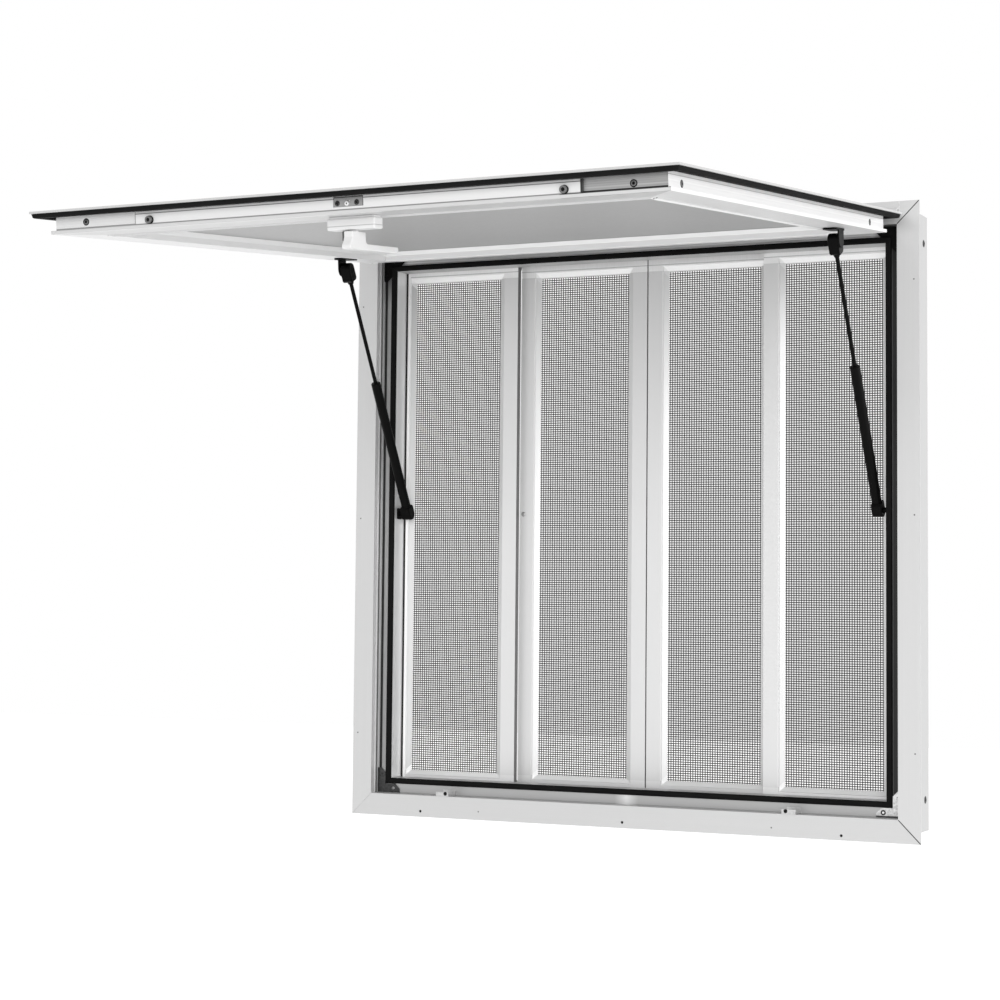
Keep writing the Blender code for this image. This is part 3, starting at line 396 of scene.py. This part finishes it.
def sideRailMarks(paint, lines):
    # painted light on the outer face up to a fine dark line near the skin; painted shade on the underside's
    # edge with a line along it, and a short open notch in painted shade where the right rail meets the front
    # one
    across, deep, down = paint.awningAxes()
    side = across.maths("ABSOLUTE")
    outer, under = side.between(*sideRail["outside"]), deep.between(*sideRail["underside"])
    notch = across.between(*sideRail["notchAcross"]) * down.between(*sideRail["notchDown"])
    return [(outer * deep.between(*sideRail["nearSkin"]), shade(1.0)),
            (outer * deep.between(*sideRail["middle"]), shade(0.92)),
            (outer * deep.between(*sideRail["skinLine"]), shade(0.55)),
            (under * side.between(*sideRail["lip"]), shade(0.76)),
            (under * side.between(*sideRail["lipLine"]), shade(0.66)), (notch, shade(0.01))]


lockPlate = {"rightEdge": (0.0296, 0.0330), "upperEdge": (0.0, 0.0066)}


def plateMarks(paint, lines):
    # painted shade along the plate's upper and right edges
    across, deep, down = paint.awningAxes()
    return [(across.between(*lockPlate["rightEdge"]), shade(0.01)),
            (deep.between(*lockPlate["upperEdge"]), shade(0.03))]


housing = {"joint": (0.0383, 0.0391)}


def housingMarks(paint, lines):
    # the joint line near the foot of the housing
    across, deep, down = paint.awningAxes()
    return [(deep.between(*housing["joint"]), shade(0.33))]


lockBar = {"raised": (0.0, 0.0076), "upperLine": (0.0076, 0.0087), "lowerLine": (0.0206, 0.0225),
           "leftEnd": (-0.302, -0.2996), "plug": (0.3183, 0.33)}


def barMarks(paint, lines):
    # the bar's raised edge, painted shade in the thin line under it and along its lower edge, a dark line at
    # its left end, and painted shade at its right end
    across, deep, down = paint.awningAxes()
    return [(deep.between(*lockBar["raised"]), shade(0.60)),
            (deep.between(*lockBar["upperLine"]), shade(0.14)),
            (deep.between(*lockBar["lowerLine"]), shade(0.28)),
            (across.between(*lockBar["leftEnd"]), shade(0.25)),
            (across.between(*lockBar["plug"]), shade(0.01))]


bracket = {"rivetSide": 0.4073, "rivetUp": 0.0350, "foot": (0.02, 0.0305), "ring": 0.0038, "rivet": 0.0020,
           "rim": (0.0012, 0.0022)}


def fromRivet(x, z, side):
    # distance from the middle of the bracket's rivet on the left or right
    across, up = x - side * bracket["rivetSide"], z - bracket["rivetUp"]
    return (across * across + up * up).maths("SQRT")


def litBracketMarks(paint, lines):
    # a painted highlight on the rivet in a ring of painted shade, and painted shade under the plate
    x, y, z = paint.axes()
    away = fromRivet(x, z, 1.0)
    return [(z.between(*bracket["foot"]), shade(0.08)), (away.between(-1.0, bracket["ring"]), shade(0.01)),
            (away.between(-1.0, bracket["rivet"]), shade(0.95))]


def shadedBracketMarks(paint, lines):
    # a painted highlight on the rivet's rim
    x, y, z = paint.axes()
    return [(fromRivet(x, z, -1.0).between(*bracket["rim"]), shade(0.7))]


def rubber(name, shine):
    paint = newPaint(name)
    grain = paint.noise((1.0, 1.0, 1.0), 1400.0, 2.0)
    dust = paint.noise((1.0, 1.0, 1.0), 22.0, 4.0)
    colour = paint.tint(shade(0.004), shade(0.010), dust)
    return finishPaint(paint, colour, grain * 0.2 + 0.55, grain, 0.00006, 0.35, Specular_IOR_Level=shine)


def sheetPaint(name, level, rough, peel=160.0, marks=None):
    # coated sheet: orange peel and a slow change of shade
    paint = newPaint(name)
    skin = paint.noise((1.0, 1.0, 1.0), peel, 2.0)
    slow = paint.noise((1.0, 1.0, 1.0), 4.0, 2.0)
    colour = withMarks(paint, paint.tint(shade(level * 0.965), shade(level * 1.035), slow), marks)
    return finishPaint(paint, colour, skin * 0.10 + (rough - 0.05), skin, 0.00008, 0.2)


def zincPlate(name, level, spread, marks=None):
    paint = newPaint(name)
    blotch = paint.add("TexVoronoi", Vector=paint.place(), Scale=260.0)
    grain = paint.noise((1.0, 1.0, 1.0), 700.0, 3.0)
    colour = paint.tint(shade(level * (1.0 - spread)), shade(level * (1.0 + spread)),
                        blotch * 0.5 + grain * 0.5)
    colour = withMarks(paint, colour, marks)
    return finishPaint(paint, colour, grain * 0.25 + 0.28, grain, 0.00004, 0.3, Metallic=0.85)


def strutBlack(name, level, rough, shine=0.05):
    paint = newPaint(name)
    grain = paint.noise((1.0, 1.0, 1.0), 900.0, 3.0)
    colour = paint.tint(shade(level * 0.7), shade(level * 1.4), grain)
    return finishPaint(paint, colour, grain * 0.12 + (rough - 0.06), grain, 0.00004, 0.25,
                       Specular_IOR_Level=shine)


def wirePaint(name):
    paint = newPaint(name)
    grain = paint.noise((1.0, 1.0, 1.0), 420.0, 2.0)
    colour = paint.tint(shade(0.016), shade(0.04), grain)
    return finishPaint(paint, colour, grain * 0.2 + 0.5, Metallic=0.0, Specular_IOR_Level=0.3)


def screwMetal(name, level, dark=0.012):
    # plated head: the map's first value is 1 in the recess, which is painted dark as shade
    paint = newPaint(name)
    recessed = paint.parts(paint.add("UVMap"))[0]
    grain = paint.noise((1.0, 1.0, 1.0), 1200.0, 3.0)
    metal = paint.tint(shade(level * 0.8), shade(level * 1.2), grain)
    colour = paint.tint(metal, shade(dark), recessed)
    return finishPaint(paint, colour, grain * 0.2 + 0.25, grain, 0.00003, 0.3, Metallic=0.8)


finishes = {
    "head": anodised("headAlloy", "x", 0.60, marks=ceilingMarks),
    "sill": anodised("sillAlloy", "x", 0.585),
    "jamb": anodised("jambAlloy", "z", 0.60, marks=jambMarks),
    "linerHead": anodised("linerHeadAlloy", "x", 0.46, marks=headMarks),
    "linerSill": anodised("linerSillAlloy", "x", 0.46, marks=sillMarks),
    # a lighter copy of the liner's alloy, painted light where the lamps reach less
    "linerJamb": anodised("linerJambAlloy", "z", 0.86, marks=linerJambMarks),
    "screen": anodised("screenAlloy", "z", 0.69, 0.45, 0.45, 0.03, screenMarks),
    # the rails are one alloy at different levels, painted light and shade for how each face is lit
    "railFront": anodised("railAlloyFront", "x", 0.62, 0.36, 0.5, 0.09, frontRailMarks),
    "railRear": anodised("railAlloyRear", "x", 0.90, 0.36, 0.4, 0.09, rearRailMarks),
    "railY": anodised("railAlloyEndways", "y", 0.84, 0.36, 0.35, 0.06, sideRailMarks),
    "hinge": anodised("hingeAlloy", "x", 0.62, 0.36, 0.6, 0.09),
    "rubber": rubber("blackRubber", 0.07),
    "seal": rubber("sealRubber", 0.04),
    "skin": sheetPaint("skinPaint", 0.47, 0.38),
    "panel": sheetPaint("panelPaint", 0.345, 0.45),
    "bar": sheetPaint("barCoat", 0.70, 0.32, 420.0, barMarks),
    "white": sheetPaint("whiteCoat", 0.66, 0.32, 420.0),
    "housing": sheetPaint("housingCoat", 0.68, 0.32, 420.0, housingMarks),
    "zinc": zincPlate("zincPlate", 0.38, 0.25),
    "plate": zincPlate("plateZinc", 0.34, 0.20, plateMarks),
    # lit and shaded copies of one bracket zinc: painted light and shade
    "litBracket": zincPlate("litBracketZinc", 0.62, 0.60, litBracketMarks),
    "shadedBracket": zincPlate("shadedBracketZinc", 0.06, 0.60, shadedBracketMarks),
    "strikeZinc": zincPlate("strikeZinc", 0.55, 0.20),
    "screwZinc": screwMetal("screwZinc", 0.18, 0.006),
    "darkScrew": screwMetal("darkScrew", 0.07),
    "blackScrew": screwMetal("blackScrew", 0.02, 0.002),
    "whiteScrew": screwMetal("whiteScrew", 0.85),
    "black": strutBlack("strutCoat", 0.003, 0.36),
    "rod": strutBlack("rodCoat", 0.003, 0.3),
    "gap": strutBlack("gapShade", 0.006, 0.6, 0.02),
    "tab": strutBlack("releaseCoat", 0.09, 0.42),
    "wire": wirePaint("netWire"),
}

# the longest matching start of a node's name decides its finish
dresses = {
    "frame_head": "head", "frame_sill": "sill", "frame_jamb": "jamb",
    "liner_head": "linerHead", "liner_sill": "linerSill", "liner_jamb": "linerJamb", "seal": "seal",
    "screen_frame": "screen", "screen_mesh": "wire", "screen_pin": "zinc",
    # the corner brackets: a shaded copy, black painted shade at the top, and a lit copy at the bottom right
    "corner_bracket": "shadedBracket", "corner_bracket_top": "gap",
    "corner_bracket_bottom_right": "litBracket", "strike": "strikeZinc", "hinge": "hinge",
    "awning_skin": "skin", "awning_inner": "panel", "awning_gasket": "rubber",
    "awning_gasket_left": "seal", "awning_gasket_right": "seal",
    "awning_rail": "railY", "awning_rail_front": "railFront", "awning_rail_rear": "railRear",
    "lock": "white", "lock_bar": "bar", "lock_bar_plate": "plate", "lock_housing": "housing",
    "lock_release": "tab", "strut": "black", "strut_rod": "rod",
}


def dress(name):
    return dresses[max((start for start in dresses if name.startswith(start)), key=len)]


for name, node in nodes.items():
    for slot in node.material_slots:
        slot.material = finishes[dress(name)]
print("finishes on the carried-over nodes")


def buildPiece(name, points, faces, finish, body, replaced=(), weld=False, mapped=None):
    data = bpy.data.meshes.new(name)
    flat = np.asarray(points, float).reshape(-1, 3)
    data.from_pydata(flat.tolist(), [], np.asarray(faces).tolist())
    if mapped is not None:
        layer = data.uv_layers.new(name="UVMap")
        corners = np.zeros(len(data.loops), dtype=np.int32)
        data.loops.foreach_get("vertex_index", corners)
        layer.data.foreach_set("uv", np.asarray(mapped, np.float32).reshape(-1, 2)[corners].ravel())
    if weld:
        work = bmesh.new()
        work.from_mesh(data)
        bmesh.ops.remove_doubles(work, verts=work.verts, dist=1e-7)
        bmesh.ops.recalc_face_normals(work, faces=work.faces)
        work.to_mesh(data)
        work.free()
    data.validate()
    data.materials.append(finishes[finish])
    piece = bpy.data.objects.new(name, data)
    bpy.context.scene.collection.objects.link(piece)
    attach(piece, body)
    if replaced:
        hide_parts(*replaced)
    return piece


def gridFaces(rows, columns, firstIndex=0, closeAround=False, closeEnds=False):
    # quads between neighbouring rows and columns of a grid; the last column or row may join the first
    acrossCount = columns if closeAround else columns - 1
    downCount = rows if closeEnds else rows - 1
    r, c = np.meshgrid(np.arange(downCount), np.arange(acrossCount), indexing="ij")
    here = r * columns + c
    beside = r * columns + (c + 1) % columns
    below = ((r + 1) % rows) * columns + (c + 1) % columns
    under = ((r + 1) % rows) * columns + c
    return (np.stack([here, beside, below, under], axis=-1) + firstIndex).reshape(-1, 4)


# woven nets
net = {"pitchAcross": 4.0, "pitchUp": 3.5, "wire": 1.42, "crimp": 0.3}


def wovenNet(name, nodeName):
    # two sets of wires on a grid; at each crossing one wire lies in front and the other behind, by
    # turns: depth = middle + crimp * (-1)^(i + j), with the sign changed for the other set
    low, high = (np.array(corner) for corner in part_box(nodeName))
    middle = (low[1] + high[1]) / 2
    half = net["wire"] * mm / 2
    countX = int(round((high[0] - low[0]) / (net["pitchAcross"] * mm)))
    countZ = int(round((high[2] - low[2]) / (net["pitchUp"] * mm)))
    lineX = low[0] + (np.arange(countX) + 0.5) * (high[0] - low[0]) / countX
    lineZ = low[2] + (np.arange(countZ) + 0.5) * (high[2] - low[2]) / countZ
    turn = np.array([[-1, 0], [0, -1], [1, 0], [0, 1]], float) * half

    def wires(across, along, ends, flip):
        stations = np.concatenate([[ends[0]], along, [ends[1]]])
        i, j = np.meshgrid(np.arange(len(across)), np.arange(len(stations)), indexing="ij")
        sway = flip * net["crimp"] * mm * np.where((i + j) % 2 == 0, 1.0, -1.0)
        side = across[:, None, None] + turn[None, None, :, 0]
        depth = middle + sway[:, :, None] + turn[None, None, :, 1]
        run = stations[None, :, None]
        return np.broadcast_arrays(side, depth, run)

    parts, faces, count = [], [], 0
    for vertical in (True, False):
        if vertical:
            side, depth, run = wires(lineX, lineZ, (low[2], high[2]), 1.0)
            block = np.stack([side, depth, run], axis=-1)
        else:
            side, depth, run = wires(lineZ, lineX, (low[0], high[0]), -1.0)
            block = np.stack([run, depth, side], axis=-1)
        lines, stations = block.shape[:2]
        one = gridFaces(stations, 4, 0, True)
        caps = np.array([[3, 2, 1, 0], [(stations - 1) * 4 + k for k in range(4)]])
        one = np.concatenate([one, caps])
        if not vertical:
            one = one[:, ::-1]
        starts = count + np.arange(lines) * stations * 4
        faces.append((one[None, :, :] + starts[:, None, None]).reshape(-1, 4))
        parts.append(block.reshape(-1, 3))
        count += lines * stations * 4
    return buildPiece(name, np.concatenate(parts), np.concatenate(faces), "wire", "frame",
                      [nodeName])


for place in ("outer_left", "inner_left", "inner_right", "outer_right"):
    wovenNet("net_" + place, "screen_mesh_" + place)
print("nets woven")


def onAwning(across, deep, down):
    y = awning["skinY"] + deep - awning["hingeY"]
    z = awning["skinTop"] - down - awning["hingeZ"]
    hinge = np.array([0.0, awning["hingeY"], awning["hingeZ"]])
    return hinge + rightward * across + inward * y - outward * z


def spot(place, facing, side, turn=0.0):
    # a place with the direction it faces, turned about that direction
    up = np.cross(facing, side)
    a = math.radians(turn)
    return (np.array(place, float), np.array(facing, float), side * math.cos(a) + up * math.sin(a))


def spun(name, spots, radius, height, finish, body, around=24, ring=False, mask=None):
    # a profile turned about each spot's direction: point = place + radius * (cos a * side
    # + sin a * up) + height * facing, where radius and height may also change with the angle
    angle = np.arange(around) * 2 * math.pi / around
    radius = np.asarray(radius, float)[:, None] * np.ones(around)
    height = np.asarray(height, float)
    height = height[:, None] * np.ones(around) if height.ndim == 1 else height
    rows = len(radius)
    blocks, faces = [], []
    for i, (place, facing, side) in enumerate(spots):
        up = np.cross(facing, side)
        ray = np.cos(angle)[:, None] * side + np.sin(angle)[:, None] * up
        blocks.append(place + radius[:, :, None] * ray[None] + height[:, :, None] * facing)
        faces.append(gridFaces(rows, around, i * rows * around, True, ring))
    mapped = None
    if mask is not None:
        mapped = np.tile(np.stack([mask, np.zeros_like(mask)], axis=-1).reshape(-1, 2), (len(spots), 1))
    return buildPiece(name, np.concatenate([b.reshape(-1, 3) for b in blocks]) * mm, np.concatenate(faces),
                      finish, body, weld=True, mapped=mapped)


def recess(kind, size, x, y, edge=0.35):
    # 1 inside the recess and 0 outside it: a cross of two bars, or a hexagon
    if kind == "cross":
        def bar(a, b):
            return (np.clip((size * 0.24 - abs(a)) / edge + 0.5, 0, 1)
                    * np.clip((size - abs(b)) / edge + 0.5, 0, 1))
        return np.maximum(bar(x, y), bar(y, x))
    sides = (0.0, math.pi / 3, 2 * math.pi / 3)
    far = np.max([abs(x * math.cos(k) + y * math.sin(k)) for k in sides], axis=0)
    return np.clip((size - far) / edge + 0.5, 0, 1)


def screwHeads(name, spots, s, finish, body):
    # head: height = tall + crown * (1 - (r / radius)^2) - deep * recess(r, a), with a rim down to
    # the face it sits on
    rings, around = 14, 40
    r = np.concatenate([np.linspace(0.0, s["radius"] - 0.25, rings), [s["radius"], s["radius"], 0.0]])
    angle = np.arange(around) * 2 * math.pi / around
    x = r[:, None] * np.cos(angle)
    y = r[:, None] * np.sin(angle)
    mask = recess(s["kind"], s["size"], x, y)
    height = s["tall"] + s["crown"] * (1 - (r[:, None] / s["radius"]) ** 2) - s["deep"] * mask
    height[rings] = s["tall"] - 0.2
    height[rings + 1:] = -s["sink"]
    mask[rings:] = 0.0
    return spun(name, spots, r, height, finish, body, around, mask=mask)


# screws of the awning's rails, each in a black ring of painted shade for its countersink
railScrew = {"radius": 3.5, "tall": 0.5, "crown": 0.35, "kind": "hex", "size": 1.7, "deep": 0.7,
             "sink": 0.1, "front": ((-378.8, 12.9), (383.5, 14.7)), "sideDeep": 15.2,
             "sideDown": (826.6, 83.6)}
sink = {"inside": 3.3, "outside": 4.7, "tall": 0.12}
front = [spot(onAwning(x, deep, awning["frontFace"]), outward, rightward, 15)
         for x, deep in railScrew["front"]]
sides = [spot(onAwning(s * awning["sideFace"], railScrew["sideDeep"], down), rightward * s, outward, 30)
         for s in (-1, 1) for down in railScrew["sideDown"]]
screwHeads("rail_screws", front + sides, railScrew, "screwZinc", "awning")


def countersinks(name, spots, s, body, finish="black"):
    # flat ring: a low rectangle carried round each spot
    radius = [s["inside"], s["inside"], s["outside"], s["outside"]]
    height = [-0.05, s["tall"], s["tall"] * 0.6, -0.05]
    spun(name, spots, radius, height, finish, body, 32, ring=True)


# black rings of painted shade round the rail screws
countersinks("rail_screw_sinks", front + sides, sink, "awning")

# the lock bar's bolts: a dark bush behind each head and a socket in its face
bolt = {"radius": 4.7, "tall": 0.20, "crown": 0.25, "kind": "hex", "size": 2.3, "deep": 0.35,
        "sink": 4.8, "across": (-277.8, 298.2), "behind": 16.6}
bolts = [spot(onAwning(x, bolt["behind"], awning["boltFace"]), outward, rightward, 10)
         for x in bolt["across"]]
screwHeads("bolt_sockets", bolts, bolt, "screwZinc", "bar")
bush = {"inside": 3.6, "outside": 5.4, "tall": 2.6}
bushes = [spot(onAwning(x, bolt["behind"], awning["barFace"]), outward, rightward) for x in bolt["across"]]
countersinks("bolt_bushes", bushes, bush, "bar")

# the lock plate: two cross-head screws, and a white pin with a dark middle of painted shade in its hole
plateScrew = {"radius": 3.4, "tall": 0.5, "crown": 0.5, "kind": "cross", "size": 2.3, "deep": 0.8,
              "sink": 0.1, "acrossAndTurn": ((-5.6, 20), (21.4, 50)), "behind": 13.2}
plateSpots = [spot(onAwning(x, plateScrew["behind"], awning["plateFace"]), outward, rightward, turn)
              for x, turn in plateScrew["acrossAndTurn"]]
screwHeads("plate_screws", plateSpots, plateScrew, "darkScrew", "bar")
pin = {"radius": 3.0, "tall": 0.9, "crown": 0.2, "kind": "hex", "size": 0.8, "deep": 0.6, "sink": 0.1,
       "across": 7.6, "behind": 14.0}
pinSpot = spot(onAwning(pin["across"], pin["behind"], awning["plateFace"]), outward, rightward)
screwHeads("plate_pin", [pinSpot], pin, "whiteScrew", "bar")

# fixing holes round the flange, drawn as black discs of painted shade, and screws through the sleeve
flangeHole = {"radius": 2.3, "tall": 0.05, "crown": 0.0, "kind": "hex", "size": 1.1, "deep": 0.04,
              "sink": 0.1, "sill": ((-345.7, 2.4), (2.7, 2.3), (350.5, 0.4)), "head": 925.0}
flangeFace = -2.0
towardsEye = np.array([0.0, -1.0, 0.0])
holes = [spot((x, flangeFace, z), towardsEye, rightward)
         for x, foot in flangeHole["sill"] for z in (foot, flangeHole["head"])]
screwHeads("flange_holes", holes, flangeHole, "blackScrew", "frame")
plug = {"radius": 1.3, "tall": 0.12, "crown": 0.1, "kind": "hex", "size": 0.3, "deep": 0.1, "sink": 0.1,
        "jambSide": 461.5, "jambUp": (123.5, 470.0, 816.5), "sillSide": 242.7, "sillUp": 6.6}
plugs = [spot((s * plug["jambSide"], flangeFace, z), towardsEye, rightward)
         for s in (-1, 1) for z in plug["jambUp"]]
plugs += [spot((s * plug["sillSide"], flangeFace, plug["sillUp"]), towardsEye, rightward) for s in (-1, 1)]
screwHeads("flange_plugs", plugs, plug, "screwZinc", "frame")
sleeveScrew = {"radius": 4.5, "tall": 0.6, "crown": 0.6, "kind": "cross", "size": 2.5, "deep": 0.9,
               "sink": 0.1, "side": 457.0, "behind": 68.0, "up": (52.4, 878.7)}
sleeve = [spot((s * sleeveScrew["side"], sleeveScrew["behind"], z), rightward * s, towardsEye, 25)
          for s in (-1, 1) for z in sleeveScrew["up"]]
screwHeads("sleeve_screws", sleeve, sleeveScrew, "darkScrew", "frame")
# black rings of painted shade round the sleeve screws
countersinks("sleeve_screw_sinks", sleeve, {"inside": 4.4, "outside": 5.5, "tall": 0.1}, "frame")
strikeScrew = {"radius": 3.0, "tall": 0.4, "crown": 0.3, "kind": "cross", "size": 2.0, "deep": 0.5,
               "sink": 0.1, "across": (-300.2, 265.6), "face": -4.5, "up": 32.2}
strikeSpots = [spot((x, strikeScrew["face"], strikeScrew["up"]), towardsEye, rightward, 20)
               for x in strikeScrew["across"]]
screwHeads("strike_screws", strikeSpots, strikeScrew, "blackScrew", "frame")
print("screws and bolts set")


def bars(name, runs, wide, low, high, facing, finish, body):
    # straight strips: each run's corners are start and end +- half the width, at two heights
    blocks, faces = [], []
    cube = np.array([[0, 3, 2, 1], [4, 5, 6, 7], [0, 1, 5, 4], [1, 2, 6, 5], [2, 3, 7, 6], [3, 0, 4, 7]])
    for i, (start, end) in enumerate(runs):
        start, end = np.array(start, float), np.array(end, float)
        side = np.cross(facing, (end - start) / np.linalg.norm(end - start)) * wide / 2
        ring = np.array([start - side, end - side, end + side, start + side])
        blocks.append(np.concatenate([ring + facing * low, ring + facing * high]))
        faces.append(cube + i * 8)
    return buildPiece(name, np.concatenate(blocks) * mm, np.concatenate(faces), finish, body,
                      weld=True)


# dark strips of painted shade in the open mitres at the right corners of the flange
mitre = {"innerX": 436.3, "outerX": 469.4, "fromAndTo": ((27.2, -5.9), (899.8, 932.9)), "wide": 1.3}
mitres = [((mitre["innerX"], flangeFace, inner), (mitre["outerX"], flangeFace, outer))
          for inner, outer in mitre["fromAndTo"]]
bars("mitre_lines", mitres, mitre["wide"], -0.1, 0.04, towardsEye, "gap", "frame")

# dark strip of painted shade in the gap between the two inner screens
strip = {"across": 10.8, "behind": 76.0, "foot": 35.0, "top": 892.0, "wide": 2.2, "half": 2.0}
stripRun = [(strip["across"], strip["behind"], z) for z in (strip["foot"], strip["top"])]
bars("meeting_strip", [stripRun], strip["wide"], -strip["half"], strip["half"], towardsEye, "gap", "frame")
print("mitres and meeting strip drawn")


# stage
def makeStage(s):
    world = bpy.data.worlds.new("studio")
    bpy.context.scene.world = world
    air = Paint(world)
    seen = air.tree.nodes.new("ShaderNodeLightPath")
    # straight to the eye, in a mirror and through glass the surroundings are white
    toEye = (Wire(air, seen.outputs["Is Camera Ray"]) + Wire(air, seen.outputs["Is Glossy Ray"])
             + Wire(air, seen.outputs["Is Transmission Ray"])).maths("MINIMUM", 1.0)
    ground = air.tree.nodes["Background"]
    air.plug(ground.inputs["Color"], (1.0, 1.0, 1.0, 1.0))
    air.plug(ground.inputs["Strength"], toEye * (1.0 - s["worldLevel"]) + s["worldLevel"])
    size = s["floorSize"]
    data = bpy.data.meshes.new("floor")
    corners = [(-size, -size, 0), (size, -size, 0), (size, size, 0), (-size, size, 0)]
    data.from_pydata(corners, [], [(0, 1, 2, 3)])
    floor = bpy.data.objects.new("floor", data)
    floor.location = (0.0, 0.0, s["floorHeight"])
    bpy.context.scene.collection.objects.link(floor)
    paint = newPaint("floorPaint")
    path = paint.tree.nodes.new("ShaderNodeLightPath")
    paint.shader.inputs["Base Color"].default_value = (0.82, 0.82, 0.82, 1.0)
    paint.shader.inputs["Roughness"].default_value = 0.9
    paint.shader.inputs["Emission Color"].default_value = (1.0, 1.0, 1.0, 1.0)
    glow = Wire(paint, path.outputs["Is Camera Ray"]) * s["floorSeenGlow"] + s["floorGlow"]
    paint.plug(paint.shader.inputs["Emission Strength"], glow)
    data.materials.append(paint.owner)


def softbox(name, place, size, power, target=(0.0, 0.0, 0.45)):
    data = bpy.data.lights.new(name, "AREA")
    data.shape = "SQUARE"
    data.size = size
    data.energy = power
    lamp = bpy.data.objects.new(name, data)
    lamp.location = place
    lamp.rotation_euler = (Vector(target) - Vector(place)).to_track_quat("-Z", "Y").to_euler()
    bpy.context.scene.collection.objects.link(lamp)


bpy.context.scene.view_settings.view_transform = "Standard"
makeCamera(studio)
makeStage(studio)
for name, (place, size, power) in studio["lamps"].items():
    softbox(name, place, size, power)
print("stage set")
